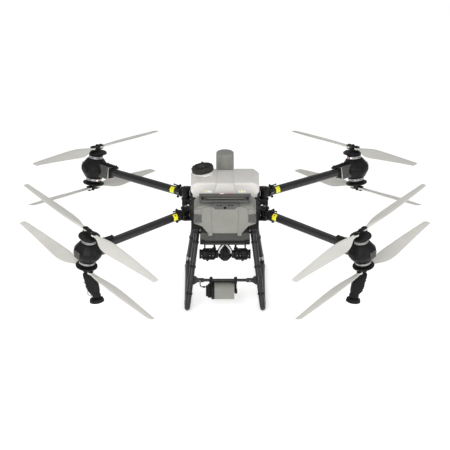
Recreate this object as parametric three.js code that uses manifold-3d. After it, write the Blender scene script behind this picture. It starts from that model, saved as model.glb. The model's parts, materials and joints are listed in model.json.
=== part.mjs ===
// Four-arm crop-spraying drone with stacked rotor pairs. Millimetres, +Z up, -Y is the battery end.
import * as THREE from "three";
import { ConvexGeometry } from "three/addons/geometries/ConvexGeometry.js";
import { mergeVertices } from "three/addons/utils/BufferGeometryUtils.js";
import Module from "manifold-3d";

const wasm = await Module();
wasm.setup();

// Overall layout
const POD_X = 850; // motor pod centre, out from the middle plane
const POD_Y = 700; // motor pod centre, along the drone
const POD_Z = 555;
const HINGE_X = 250; // vertical fold axis of each arm
const HINGE_Y = 165;
const HINGE_Z = 588;
const CANT = 8.6; // degrees the motor axis leans about its arm
// Fits
const GAP = 0.3; // between parts that bear on each other
const TURN = 0.4; // radial clearance of a turning fit
// Rotor
const ROTOR_R = 686;
const PIN_OFF = 42; // blade pin from the rotor axis
const PIN_R = 6;
const BLADE_Z = 135; // blade plane from the pod centre
const ROOT_R = 17;
const ROOT_T = 12;
const DISC_R = 69;
const REST_NEAR = 86.7; // degrees from the arm to the blade line, near arms
const REST_FAR = 82.7; // the same, far arms
// Arm
const TUBE_R = 27.5;
const COLLAR_R = 33;
const COLLAR_OFF = 8; // collar's offset from the tube, away from the middle of the drone
const BARREL_R = 24;
const BARREL_H = 60;
const DROP_FROM = 40; // the tube starts to slope down this far from its hinge
const LATCH_X = 62;
const HINGE_PIN_R = 8;
const SINK_L = 150; // heat sink's reach back from the pod centre
const SINK_FACE = 60;
// Frame and body
const RAIL_X0 = 198;
const RAIL_X1 = 214;
const RAIL_Z0 = 545;
const RAIL_Z1 = HINGE_Z + BARREL_H / 2 + 10;
const BATTERY_W = 196; // half width
const BATTERY_Y0 = -300;
const BATTERY_Y1 = -96;
const BATTERY_Z0 = 500;
const TANK_W = 218; // half width
const TANK_Y0 = -62;
const TANK_Y1 = 238;
const TANK_WALL = 4;
const NECK_R = 58;
const NECK_TILT = 8; // degrees
const CAP_R = 71;
// Landing gear
const LEG_R = 18;
const FOOT_X = 240;
const LEG_TOP_X = 175;
const LEG_TOP_Z = BATTERY_Z0;
const FOOT_NEAR = -395;
const FOOT_FAR = 365;
const TOP_NEAR = -200;
const TOP_FAR = 180;
const BAR_Z = 195; // crossbar
const BAR_R = 9.5;
const DRUM_R = 55;
const DRUM_Z = 117;
// Sprayer
const BODY_L = 138; // from its knee to its foot
const BODY_LEAN = 26; // degrees inward
const DISC_LEAN = 8;
const SPINDLE_R = 6;

const rad = THREE.MathUtils.degToRad;
const v = (x, y, z) => new THREE.Vector3(x, y, z);

const paint = (color, roughness, metalness = 0) =>
  new THREE.MeshStandardMaterial({ color, roughness, metalness, flatShading: true });
const MATERIALS = {
  carbon: paint(0x3c3c3c, 0.45),
  black: paint(0x232324, 0.5),
  blade: paint(0xe1ddd2, 0.4),
  tank: paint(0xdcd8d3, 0.35),
  battery: paint(0x9b9b91, 0.6),
  handle: paint(0x6e6e6c, 0.5),
  housing: paint(0x8c8c84, 0.5),
  tray: paint(0x55554f, 0.6),
};

// Solids: each function returns a plain geometry, and join and cut work on them.
function solid(geometry) {
  const bare = geometry.index ? geometry.toNonIndexed() : geometry.clone();
  bare.deleteAttribute("normal");
  bare.deleteAttribute("uv");
  const merged = mergeVertices(bare, 1e-4);
  return new wasm.Manifold(
    new wasm.Mesh({
      numProp: 3,
      vertProperties: new Float32Array(merged.attributes.position.array),
      triVerts: new Uint32Array(merged.index.array),
    }),
  );
}

function geometryOf(manifold) {
  const mesh = manifold.getMesh();
  const geometry = new THREE.BufferGeometry();
  geometry.setAttribute("position", new THREE.BufferAttribute(mesh.vertProperties, 3));
  geometry.setIndex(new THREE.BufferAttribute(mesh.triVerts, 1));
  return geometry;
}

const join = (...parts) => geometryOf(parts.map(solid).reduce((a, b) => a.add(b)));
const cut = (body, ...tools) =>
  geometryOf(tools.map(solid).reduce((a, b) => a.subtract(b), solid(body)));

const box = (x0, x1, y0, y1, z0, z1) =>
  new THREE.BoxGeometry(x1 - x0, y1 - y0, z1 - z0).translate(
    (x0 + x1) / 2,
    (y0 + y1) / 2,
    (z0 + z1) / 2,
  );

// Cylinder along Z from z0 to z1.
const rod = (r, z0, z1, sides = 16) =>
  new THREE.CylinderGeometry(r, r, z1 - z0, sides).rotateX(Math.PI / 2).translate(0, 0, (z0 + z1) / 2);

// Cylinder along X from x0 to x1.
const rodX = (r, x0, x1, sides = 16) => rod(r, x0, x1, sides).rotateY(Math.PI / 2);

// Solid of revolution about Z through [radius, z] points, listed upwards.
const turned = (points, sides) =>
  new THREE.LatheGeometry(points.map(([r, z]) => new THREE.Vector2(r, z)), sides).rotateX(Math.PI / 2);

const hull = (points) => new ConvexGeometry(points.map(([x, y, z]) => v(x, y, z)));
const bothSides = (points) => points.flatMap(([x, y, z]) => [[x, y, z], [-x, y, z]]);

// Skin over closed rings of equal point counts, with flat ends.
function loft(rings) {
  const n = rings[0].length;
  const points = rings.flat();
  const faces = [];
  for (let i = 0; i + 1 < rings.length; i++)
    for (let j = 0; j < n; j++) {
      const [a, b] = [i * n + j, i * n + ((j + 1) % n)];
      faces.push(a, b, b + n, a, b + n, a + n);
    }
  const last = (rings.length - 1) * n;
  for (let j = 1; j + 1 < n; j++) faces.push(0, j + 1, j, last, last + j, last + j + 1);
  let volume = 0;
  for (let i = 0; i < faces.length; i += 3) {
    const [p, q, r] = [0, 1, 2].map((k) => points[faces[i + k]]);
    volume += p.dot(q.clone().cross(r));
  }
  if (volume < 0) faces.reverse();
  return new THREE.BufferGeometry().setFromPoints(points).setIndex(faces);
}

// Round tube through a list of points; each ring is square to the path, or level where told.
function tube(path, radius, sides, levelEnds = false) {
  const rings = path.map((p, i) => {
    const before = path[Math.max(i - 1, 0)];
    const after = path[Math.min(i + 1, path.length - 1)];
    const along = after.clone().sub(before).normalize();
    const end = i === 0 || i === path.length - 1;
    const side = v(1, 0, 0).projectOnPlane(along).normalize();
    const over = along.clone().cross(side);
    return Array.from({ length: sides }, (_, k) => {
      const t = (2 * Math.PI * (k + 0.5)) / sides;
      const q = p.clone().addScaledVector(side, radius * Math.cos(t)).addScaledVector(over, radius * Math.sin(t));
      if (levelEnds && end) q.addScaledVector(along, (p.z - q.z) / along.z);
      return q;
    });
  });
  return loft(rings);
}

function piece(parent, name, geometry, material) {
  const shown = geometry.index ? geometry.toNonIndexed() : geometry;
  shown.deleteAttribute("uv");
  shown.computeVertexNormals();
  const mesh = new THREE.Mesh(shown, MATERIALS[material]);
  mesh.name = name;
  parent.add(mesh);
  return mesh;
}

// A group whose origin and Z axis are a joint's.
function pivot(parent, name, position, rotation = [0, 0, 0]) {
  const group = new THREE.Group();
  group.name = name;
  group.position.set(...position);
  group.rotation.set(...rotation);
  parent.add(group);
  return group;
}

// Rails, cross members, hinge forks, leg sockets and nose.
function centreFrame() {
  const parts = [];
  for (const s of [-1, 1]) {
    const x = (a, b) => [Math.min(s * a, s * b), Math.max(s * a, s * b)];
    parts.push(box(...x(RAIL_X0, RAIL_X1), -240, 252, RAIL_Z0, RAIL_Z1));
    parts.push(rodX(16, ...x(RAIL_X1 - 2, RAIL_X1 + 60)).translate(0, 0, HINGE_Z + 8));
    for (const y of [TOP_NEAR, TOP_FAR])
      parts.push(box(...x(LEG_TOP_X - LEG_R, RAIL_X1), y - 22, y + 22, LEG_TOP_Z + GAP, RAIL_Z0 + 1));
    for (const e of [-1, 1]) {
      const place = (g) => g.translate(s * HINGE_X, e * HINGE_Y, HINGE_Z);
      const half = BARREL_H / 2 + GAP;
      for (const z of [half, -half - (10 - GAP)]) {
        parts.push(place(rod(30, z, z + 10 - GAP)));
        parts.push(place(box(...x(RAIL_X1 - 2 - HINGE_X, 0), -30, 30, z, z + 10 - GAP)));
      }
      parts.push(place(rod(HINGE_PIN_R, -BARREL_H / 2 - 9, BARREL_H / 2 + 9)));
      parts.push(place(box(...x(RAIL_X1 - 2 - HINGE_X, -BARREL_R - 1), -24, 24, -BARREL_H / 2 - 9, BARREL_H / 2 + 9)));
    }
  }
  parts.push(box(-RAIL_X0 - 2, RAIL_X0 + 2, 243, 252, RAIL_Z0, RAIL_Z1));
  parts.push(box(-RAIL_X0 - 2, RAIL_X0 + 2, -80, -66, LEG_TOP_Z + GAP, RAIL_Z1));
  parts.push(
    hull([
      ...bothSides([[120, 250, 500], [120, 250, 559], [70, 372, 559], [70, 372, 520], [55, 340, 490]]),
    ]),
  );
  return join(...parts);
}

// Outside of the tank, or its inside when shrunk by the wall.
function tankForm(w) {
  const y0 = TANK_Y0 + w;
  const y1 = TANK_Y1 - w;
  const W = TANK_W - w;
  const top = hull(
    bothSides([
      [W - 36, y0 + 6, 752 - w], [W - 36, y1 - 6, 734 - w], [W - 14, y0, 740 - w],
      [W, y0 + 36, 726 - w], [W, y1 - 22, 712 - w], [W, y0 + 36, 678 + w], [W, y1 - 22, 678 + w],
      [W - 14, y0, 682 + w], [W - 24, y1, 718 - w], [W - 24, y1, 684 + w],
      [W - 36, y0 + 6, 640 + w], [W - 36, y1 - 4, 640 + w],
    ]),
  );
  const waist = hull(
    bothSides([
      [150 - w, y0 + 8, 556 + w], [150 - w, y1 - 8, 556 + w], [W - 36, y0 + 8, 600 + w],
      [W - 36, y1 - 8, 600 + w], [W - 36, y0 + 8, 645 + w], [W - 36, y1 - 8, 645 + w],
    ]),
  );
  const sump = box(-150 + w, 150 - w, y0 + 12, y1 - 12, 430 + w, 600 + w);
  // Shallow channel down the middle of the top and of the near face, flaring at its foot.
  const topGroove = hull(
    bothSides([[52 + w, -200, 900], [52 + w, 400, 900], [44 + w, 400, 721 - w], [44 + w, -200, 748 - w]]),
  );
  const faceGroove = hull(
    bothSides([
      [52 + w, -200, 900], [52 + w, -200, 706], [44 + w, y0 + 8, 900], [44 + w, y0 + 8, 706],
      [70 + w, -200, 678 - w], [62 + w, y0 + 8, 678 - w],
    ]),
  );
  return cut(join(top, waist, sump), topGroove, faceGroove);
}

// Neck frame: stands on the tank's left, leaning out.
const neckFrame = (g) => g.rotateY(rad(-NECK_TILT)).translate(-140, 125, 752);

function tankShell() {
  const feet = [-1, 1].map((s) =>
    s < 0 ? box(-205, -170, 0, 180, RAIL_Z1 + GAP, 650) : box(170, 205, 0, 180, RAIL_Z1 + GAP, 650),
  );
  const outside = join(tankForm(0), ...feet, neckFrame(rod(NECK_R, -44, 28, 24)));
  return cut(outside, tankForm(TANK_WALL), neckFrame(rod(NECK_R - 8, -54, 40, 24)));
}

const tankCap = () =>
  cut(rod(CAP_R, 10, 42, 24), rod(NECK_R + TURN, 0, 28 + GAP, 24));

const radarTower = () =>
  turned([[0, 0], [58, 0], [57, 205], [55, 246], [50, 254], [42, 256], [0, 256]], 24).translate(0, 312, 559.5);

function batteryCase() {
  const [y0, y1, z0] = [BATTERY_Y0, BATTERY_Y1, BATTERY_Z0];
  const foot = hull(bothSides([y0, y1].flatMap((y) => [[105, y, z0], [147, y, z0 + 50], [147, y, z0 + 90]])));
  const body = hull(
    bothSides([
      [147, y0, z0 + 50], [BATTERY_W, y0 + 12, 564], [BATTERY_W, y0 + 12, 662], [168, y0 + 4, 684],
      [168, -232, 700], [168, -148, 700], [168, y1, 668], [BATTERY_W, -148, 672], [BATTERY_W, y1, 652],
      [BATTERY_W, y1, 564], [147, y1, z0 + 50],
    ]),
  );
  return join(foot, body);
}

const batteryHandle = () =>
  join(
    box(-162, 162, -226, -190, 716, 734),
    box(-162, -124, -226, -190, 700 + GAP, 720),
    box(124, 162, -226, -190, 700 + GAP, 720),
  );

const batteryBay = () =>
  join(
    box(-155, 155, -280, -66, 430, BATTERY_Z0 - GAP),
    box(-158, 158, -283, -66, 420, 447),
  );

function pumpCore() {
  const parts = [box(-150, 150, -262, -180, 411, 420 - GAP), rod(42, 302, 412, 12).translate(0, -221, 0)];
  parts.push(rod(30, 288, 303, 12).translate(0, -221, 0));
  for (const x of [-128, -66, 66, 128]) parts.push(box(x - 5, x + 5, -232, -210, 364 + GAP, 412));
  return join(...parts);
}

// Octagonal pump head lying along X, outside the core.
const pump = (s) =>
  s < 0
    ? join(rodX(34, -163, -45, 8), rodX(28, -46, -42 - GAP, 8)).rotateX(rad(22.5)).translate(0, -221, 331)
    : join(rodX(34, 45, 163, 8), rodX(28, 42 + GAP, 46, 8)).rotateX(rad(22.5)).translate(0, -221, 331);

// Landing leg, skid and flat rubber soles of one side, in one piece.
function skid(s) {
  const bend = 50;
  const z = LEG_R + 2;
  const tops = [v(s * LEG_TOP_X, TOP_NEAR, LEG_TOP_Z), v(s * LEG_TOP_X, TOP_FAR, LEG_TOP_Z)];
  const feet = [v(s * FOOT_X, FOOT_NEAR, z), v(s * FOOT_X, FOOT_FAR, z)];
  const path = [tops[0]];
  const corner = (from, at, to) => {
    const a = at.clone().add(from.clone().sub(at).setLength(bend));
    const b = at.clone().add(to.clone().sub(at).setLength(bend));
    for (const t of [0, 0.33, 0.67, 1])
      path.push(
        a.clone().multiplyScalar((1 - t) ** 2).addScaledVector(at, 2 * t * (1 - t)).addScaledVector(b, t * t),
      );
  };
  corner(tops[0], feet[0], feet[1]);
  corner(feet[0], feet[1], tops[1]);
  path.push(tops[1]);
  const soles = [FOOT_NEAR + 110, FOOT_FAR - 110].map((y) =>
    box(s * FOOT_X - 14, s * FOOT_X + 14, y - 45, y + 45, 0, 12),
  );
  return join(tube(path, LEG_R, 12, true), ...soles);
}

// Where the near leg's axis is at a height.
function nearLeg(z) {
  const t = (z - LEG_R - 2) / (LEG_TOP_Z - LEG_R - 2);
  return { x: FOOT_X + (LEG_TOP_X - FOOT_X) * t, y: FOOT_NEAR + (TOP_NEAR - FOOT_NEAR) * t };
}

function crossbar() {
  const leg = nearLeg(BAR_Z);
  const inner = leg.x - LEG_R - 1.5;
  const slope = (LEG_TOP_X - FOOT_X) / (LEG_TOP_Z - LEG_R - 2);
  const parts = [rodX(BAR_R, -inner, inner, 16).translate(0, leg.y, BAR_Z)];
  for (const s of [-1, 1])
    parts.push(
      hull(
        [leg.y - 6, leg.y + 6].flatMap((y) => [
          [s * (inner - slope * -30), y, BAR_Z - 30], [s * (inner + slope * 30), y, BAR_Z + 30],
          [s * 166, y, BAR_Z - 8], [s * 166, y, BAR_Z + 8],
        ]),
      ),
    );
  return join(...parts);
}

const drumY = () => nearLeg(BAR_Z).y + 12;
const radarDrum = () => rodX(DRUM_R, -67, 59, 24).translate(0, drumY(), DRUM_Z);

// End plates, plug block and the two clamps round the crossbar.
function radarMount() {
  const y = drumY();
  const barY = nearLeg(BAR_Z).y;
  const body = join(
    rodX(DRUM_R, -88, -67 - GAP, 24).translate(0, y, DRUM_Z),
    box(-121, -86, y - 24, y + 24, DRUM_Z - 34, DRUM_Z + 34),
    box(59 + GAP, 75, y - 22, y + 22, DRUM_Z - 8, BAR_Z - 6),
    box(59 + GAP, 75, barY - 16, barY + 16, BAR_Z - 20, BAR_Z + 22),
    box(-98, -78, barY - 16, barY + 16, DRUM_Z + 30, BAR_Z + 22),
    box(-98, 75, y + 4, y + 22, DRUM_Z + DRUM_R + 1, BAR_Z - 10),
  );
  return cut(body, rodX(BAR_R + GAP, -130, 130, 16).translate(0, barY, BAR_Z));
}

const radarCable = () => {
  const y = nearLeg(BAR_Z).y;
  const end = drumY();
  return tube(
    [
      v(-157, y, BAR_Z - BAR_R - 0.6), v(-157, y, 172), v(-156, y + 1, 158), v(-150, y + 3, 148),
      v(-140, end - 4, 144), v(-121 - 2 * GAP, end - 2, 144),
    ],
    3.5,
    8,
  );
};

function armTube(length, s) {
  const drop = HINGE_Z - POD_Z;
  const ring = (x, r) => Array.from({ length: 8 }, (_, k) => {
    const t = rad(22.5 + 45 * k);
    const share = Math.max(0, x - DROP_FROM) / (length - DROP_FROM);
    return v(x, r * Math.cos(t), r * Math.sin(t) - drop * share);
  });
  const parts = [
    loft([ring(DROP_FROM, TUBE_R), ring(length - SINK_L - GAP, TUBE_R)]),
    loft([ring(18, COLLAR_R - 7), ring(34, COLLAR_R), ring(74, COLLAR_R), ring(82, COLLAR_R - 5)]).translate(0, s * COLLAR_OFF, 0),
    rod(BARREL_R, -BARREL_H / 2, BARREL_H / 2),
  ];
  for (const y of [-17.5, 13]) parts.push(box(LATCH_X - 8, LATCH_X + 8, y, y + 4.5, 20, 43));
  parts.push(rod(3, -14, 14, 12).rotateX(Math.PI / 2).translate(LATCH_X, 0, 36));
  return cut(join(...parts), rod(HINGE_PIN_R + TURN, -BARREL_H, BARREL_H));
}

// Over-centre lever on the arm's collar, in the frame of its own pin.
function latch() {
  const barrel = rod(5.5, -12.6, 12.6, 12).rotateX(Math.PI / 2);
  const lever = box(0, 36, -8, 8, -1.5, 2.5);
  const ball = new THREE.SphereGeometry(6, 8, 6).translate(38, 0, 1);
  return cut(join(barrel, lever, ball), rod(3 + TURN, -20, 20, 12).rotateX(Math.PI / 2));
}

// Motor pod: faceted bulb, two necks with shaft stubs, and the heat sink that takes the arm's end.
function motorPod(sprays) {
  const bulb = turned([[0, -66], [60, -66], [DISC_R + 20, -28], [DISC_R + 20, 22], [56, 64], [0, 64]], 12);
  const parts = [
    bulb,
    rod(45, 60, 95, 20),
    rod(50, -95, -60, 20),
    rod(10, 90, 106),
    box(-SINK_L, -SINK_FACE, -34, 34, -42, 40),
    box(-SINK_L - 50, -36, -12, 12, 38, 56),
  ];
  if (!sprays) parts.push(rod(10, -106, -90));
  return join(...parts);
}

// Rotor hub for the upper motor, with z from the blade plane. The lower one is its mirror image.
function hub(up, bored) {
  const slot = ROOT_T / 2 + 0.5;
  const stadium = (z0, z1) => {
    const ends = [-PIN_OFF, PIN_OFF].map((x) => rod(20, z0, z1, 12).translate(x, 0, 0));
    return join(...ends, box(-PIN_OFF, PIN_OFF, -20, 20, z0, z1));
  };
  const parts = [
    rod(DISC_R, -37, -25, 24), rod(24, -26, -slot - 4, 12), stadium(-slot - 4.5, -slot), stadium(slot, slot + 4.5),
    box(-20, 20, -18, 18, -slot - 1, slot + 1), rod(13, slot + 4, slot + 14, 10),
  ];
  for (const x of [-PIN_OFF, PIN_OFF]) parts.push(rod(PIN_R, -slot - 2, slot + 2, 12).translate(x, 0, 0));
  const hole = bored ? rod(12, -60, 60) : rod(10 + TURN, -60, -28);
  const made = cut(join(...parts), hole);
  return up > 0 ? made : made.rotateX(Math.PI);
}

// Folding blade, from its pin outwards. Stations: distance from the pin, leading and trailing edges,
// thickness and pitch in degrees. hand is +1 when the leading edge is on the +Y side.
function blade(hand) {
  const reach = ROTOR_R - PIN_OFF;
  const stations = [
    [8, 12, -12, ROOT_T, 0], [40, 13, -13, ROOT_T, 2], [70, 24, -24, 13, 10], [105, 46, -38, 12, 16],
    [150, 62, -48, 11, 17], [210, 62, -48, 9.5, 15], [330, 49, -40, 7.5, 12], [500, 31, -30, 5.5, 8],
    [reach - 14, 20, -22, 4, 7], [reach, 12, -22, 3, 7],
  ];
  const rings = stations.map(([x, lead, trail, t, pitch]) => {
    const width = lead - trail;
    const section = [
      [lead, 0], [lead - 0.28 * width, 0.55 * t], [lead - 0.65 * width, 0.42 * t],
      [trail, 0], [lead - 0.65 * width, -0.36 * t], [lead - 0.28 * width, -0.45 * t],
    ];
    const flat = [
      [lead, 0.25 * t], [lead - 0.2 * width, 0.5 * t], [trail + 0.2 * width, 0.5 * t],
      [trail, -0.25 * t], [trail + 0.2 * width, -0.5 * t], [lead - 0.2 * width, -0.5 * t],
    ];
    const a = rad(pitch);
    return (x < 60 ? flat : section).map(([y, z]) =>
      v(x, hand * (y * Math.cos(a) - z * Math.sin(a)), y * Math.sin(a) + z * Math.cos(a)),
    );
  });
  const half = ROOT_T / 2;
  return cut(join(loft(rings), rod(ROOT_R, -half, half, 14)), rod(PIN_R + TURN, -20, 20, 12));
}

function arm(root, side, end) {
  const label = `${end < 0 ? "near" : "far"}_${side < 0 ? "left" : "right"}`;
  const s = side * end; // +1 for two opposite arms, -1 for their mirror images
  const run = v(side * (POD_X - HINGE_X), end * (POD_Y - HINGE_Y), 0);
  const length = run.length();
  const yaw = Math.atan2(run.y, run.x);
  const hinge = pivot(root, `arm_fold_${label}`, [side * HINGE_X, end * HINGE_Y, HINGE_Z], [0, 0, yaw]);
  piece(hinge, `arm_${label}`, armTube(length, s), "carbon");
  const lever = pivot(hinge, `latch_turn_${label}`, [LATCH_X, 0, 36]);
  piece(lever, `latch_${label}`, latch(), "black");

  const pod = pivot(hinge, `pod_frame_${label}`, [length, 0, POD_Z - HINGE_Z], [rad(-CANT * s), 0, 0]);
  piece(pod, `pod_${label}`, motorPod(end < 0), "black");
  const rest = s * rad(end < 0 ? REST_NEAR : REST_FAR);
  for (const up of [1, -1]) {
    const tier = `${label}_${up > 0 ? "upper" : "lower"}`;
    const sprays = end < 0 && up < 0;
    const spin = pivot(pod, `hub_spin_${tier}`, [0, 0, up * BLADE_Z], [0, 0, rest]);
    piece(spin, `hub_${tier}`, hub(up, sprays), "black");
    for (const [tag, turn] of [["a", Math.PI], ["b", 0]]) {
      const x = PIN_OFF * Math.cos(turn);
      const fold = pivot(spin, `blade_fold_${tier}_${tag}`, [x, 0, 0], [0, 0, turn]);
      piece(fold, `blade_${tier}_${tag}`, blade(up * s), "blade");
    }
  }
  if (end < 0) addSprayer(pod, label, side);
}

// Sprayer below a near motor: a stem through the hollow shaft, then a body that leans inward.
function addSprayer(pod, label, side) {
  pod.updateWorldMatrix(true, false);
  const toPod = pod.getWorldQuaternion(new THREE.Quaternion()).invert();
  // Turn, in the pod's frame, of something that hangs straight down but leans inward by an angle.
  const hanging = (degrees) => {
    const down = v(-side * Math.sin(rad(degrees)), 0, -Math.cos(rad(degrees))).applyQuaternion(toPod);
    return new THREE.Quaternion().setFromUnitVectors(v(0, 0, -1), down);
  };
  const knee = v(0, 0, -172);
  const bodyTurn = hanging(BODY_LEAN);
  const ankle = v(0, 0, -BODY_L).applyQuaternion(bodyTurn).add(knee);
  const discTurn = hanging(DISC_LEAN);
  const lay = (g, turn, at) => g.applyQuaternion(turn).translate(at.x, at.y, at.z);
  const body = join(
    rod(12 - TURN, -175, -95 - GAP),
    rod(19, -184, -160),
    lay(rod(15, -50, 4), bodyTurn, knee),
    lay(turned([[0, -134], [24, -134], [34, -118], [34, -52], [20, -34], [0, -34]], 10), bodyTurn, knee),
    lay(rod(24, -26, 20, 12), discTurn, ankle),
    lay(rod(SPINDLE_R, -44, -20, 12), discTurn, ankle),
  );
  piece(pod, `sprayer_${label}`, body, "black");
  const spin = pivot(pod, `atomiser_spin_${label}`, ankle.toArray());
  spin.quaternion.copy(discTurn);
  const disc = turned([[0, -56], [44, -56], [47, -52], [42, -34], [16, -28], [0, -28]], 20);
  piece(spin, `atomiser_${label}`, cut(disc, rod(SPINDLE_R + TURN, -44 - GAP, 0, 12)), "black");
}

const drone = new THREE.Group();
drone.name = "spraying_drone";
piece(drone, "centre_frame", centreFrame(), "carbon");
piece(drone, "tank_shell", tankShell(), "tank");
piece(drone, "radar_tower", radarTower(), "housing");
piece(drone, "battery_bay", batteryBay(), "tray");
piece(drone, "pump_core", pumpCore(), "black");
piece(drone, "pump_left", pump(-1), "black");
piece(drone, "pump_right", pump(1), "black");
piece(drone, "skid_left", skid(-1), "carbon");
piece(drone, "skid_right", skid(1), "carbon");
piece(drone, "crossbar", crossbar(), "carbon");
piece(drone, "radar_drum", radarDrum(), "housing");
piece(drone, "radar_mount", radarMount(), "black");
piece(drone, "radar_cable", radarCable(), "black");
piece(drone, "battery_case", batteryCase(), "battery");
piece(drone, "battery_handle", batteryHandle(), "handle");
const neck = pivot(drone, "cap_turn", [-140, 125, 752], [0, rad(-NECK_TILT), 0]);
piece(neck, "tank_cap", tankCap(), "black");
for (const side of [-1, 1]) for (const end of [-1, 1]) arm(drone, side, end);

// The part's origin is the middle of its footprint, on the ground.
drone.updateMatrixWorld(true);
const bounds = new THREE.Box3().setFromObject(drone, true);
const middle = bounds.getCenter(new THREE.Vector3());
drone.position.set(-middle.x, -middle.y, -bounds.min.z);

export default drone;
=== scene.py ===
# %% [markdown]
# # A crop-spraying drone, dressed around its imported frame
#
# The frame holds every part of the machine in metres, with +Z up and the battery end toward -Y. It has the true
# sizes and the joints, and our job is the looks: each plain solid gets a finish, or is replaced by finer pieces
# that sit in the same place and ride on the same body. We load it first. The finished model has to stay inside
# it.

# %% Load the frame
import json
import math

import bmesh
import bpy
from mathutils import Matrix, Vector


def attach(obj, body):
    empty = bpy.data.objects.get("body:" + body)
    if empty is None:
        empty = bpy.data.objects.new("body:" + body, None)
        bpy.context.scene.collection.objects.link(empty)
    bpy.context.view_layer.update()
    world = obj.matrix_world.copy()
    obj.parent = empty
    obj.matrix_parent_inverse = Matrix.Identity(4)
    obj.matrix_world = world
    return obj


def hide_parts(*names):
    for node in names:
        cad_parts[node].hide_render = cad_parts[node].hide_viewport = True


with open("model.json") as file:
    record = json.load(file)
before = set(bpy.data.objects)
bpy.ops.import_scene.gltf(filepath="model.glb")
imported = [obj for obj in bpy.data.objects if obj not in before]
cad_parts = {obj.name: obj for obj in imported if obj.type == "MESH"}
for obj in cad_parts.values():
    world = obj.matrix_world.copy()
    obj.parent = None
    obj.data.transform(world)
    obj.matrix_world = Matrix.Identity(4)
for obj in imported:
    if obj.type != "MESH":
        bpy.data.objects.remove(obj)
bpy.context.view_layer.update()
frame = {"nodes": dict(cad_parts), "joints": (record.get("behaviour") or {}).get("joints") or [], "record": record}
JOINTS = {joint["name"]: joint for joint in frame["joints"]}

# %% [markdown]
# A folding arm leans down and out, so pieces on it can't be placed along world X and Y. Their coordinates
# could be typed in, but would go wrong as soon as the arm changed. We read each joint's place from the
# frame instead: the two rotor hubs of an arm give its motor pod's centre and lean, the blade pins give
# each blade's direction, and the fold joint gives the arm's root.

# %% Places taken from the joints
MM = 0.001


def joint_place(name):
    return Vector(JOINTS[name]["pos_m"])


def basis(origin, x_axis, z_axis):
    """A place whose X and Z point along two directions, as a matrix."""
    z_axis = z_axis.normalized()
    x_axis = (x_axis - z_axis * x_axis.dot(z_axis)).normalized()
    y_axis = z_axis.cross(x_axis)
    turn = Matrix((x_axis, y_axis, z_axis)).transposed().to_4x4()
    return Matrix.Translation(origin) @ turn


class Arm:
    """The places on one folding arm."""

    def __init__(self, end, side):
        self.label = f"{end}_{side}"
        self.near = end == "near"
        self.left = side == "left"
        self.hand = 1 if self.near == self.left else -1
        self.body = f"arm_{self.label}"
        root = joint_place(f"arm_fold_{self.label}")
        tiers = {tier: joint_place(f"hub_spin_{self.label}_{tier}") for tier in ("upper", "lower")}
        centre = (tiers["upper"] + tiers["lower"]) / 2
        up = tiers["upper"] - tiers["lower"]
        out = Vector((centre.x - root.x, centre.y - root.y, 0))
        self.length = out.length / MM
        self.drop = (root.z - centre.z) / MM
        self.root = basis(root, out, Vector((0, 0, 1)))
        self.pod = basis(centre, out, up)
        self.hubs = {}
        self.blades = {}
        for tier, place in tiers.items():
            pins = {tag: joint_place(f"blade_fold_{self.label}_{tier}_{tag}") for tag in "ab"}
            self.hubs[tier] = basis(place, pins["b"] - place, up)
            for tag, pin in pins.items():
                self.blades[tier, tag] = basis(pin, pin - place, up)
        self.reach = up.length / 2 / MM


ARMS = [Arm(end, side) for end in ("near", "far") for side in ("left", "right")]
MIDDLE = sum((arm.pod.translation for arm in ARMS), Vector()) / len(ARMS)
BODY = Matrix.Translation((0, MIDDLE.y, 0))
print("arm", round(ARMS[0].length), "mm, rotors", round(2 * ARMS[0].reach), "mm apart")

# %% [markdown]
# The camera comes next. It could stand close with a wide lens, but then the near rotors would look much
# bigger than the far ones. A long lens from far away keeps them nearly equal.

# %% Camera
ELEVATION = math.radians(22.6)
DISTANCE = 24.8
AIM = Vector((0, MIDDLE.y, 0.438))

camera = bpy.data.objects.new("camera", bpy.data.cameras.new("camera"))
bpy.context.scene.collection.objects.link(camera)
camera.data.sensor_width = 36
camera.data.lens = 310.9
camera.data.clip_end = 100
camera.location = AIM + DISTANCE * Vector((0, -math.cos(ELEVATION), math.sin(ELEVATION)))
camera.rotation_euler = (math.pi / 2 - ELEVATION, 0, 0)
bpy.context.scene.camera = camera
print("camera", tuple(round(c, 2) for c in camera.location))

# %% [markdown]
# A material is a network of nodes, and written out link by link it is hard to read. This small class wraps
# one output socket, and Python's operators add the Math nodes, so that a mask reads like a sum. Every
# other kind of node comes from one method, `node`.

# %% Sockets that can be added and multiplied


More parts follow.
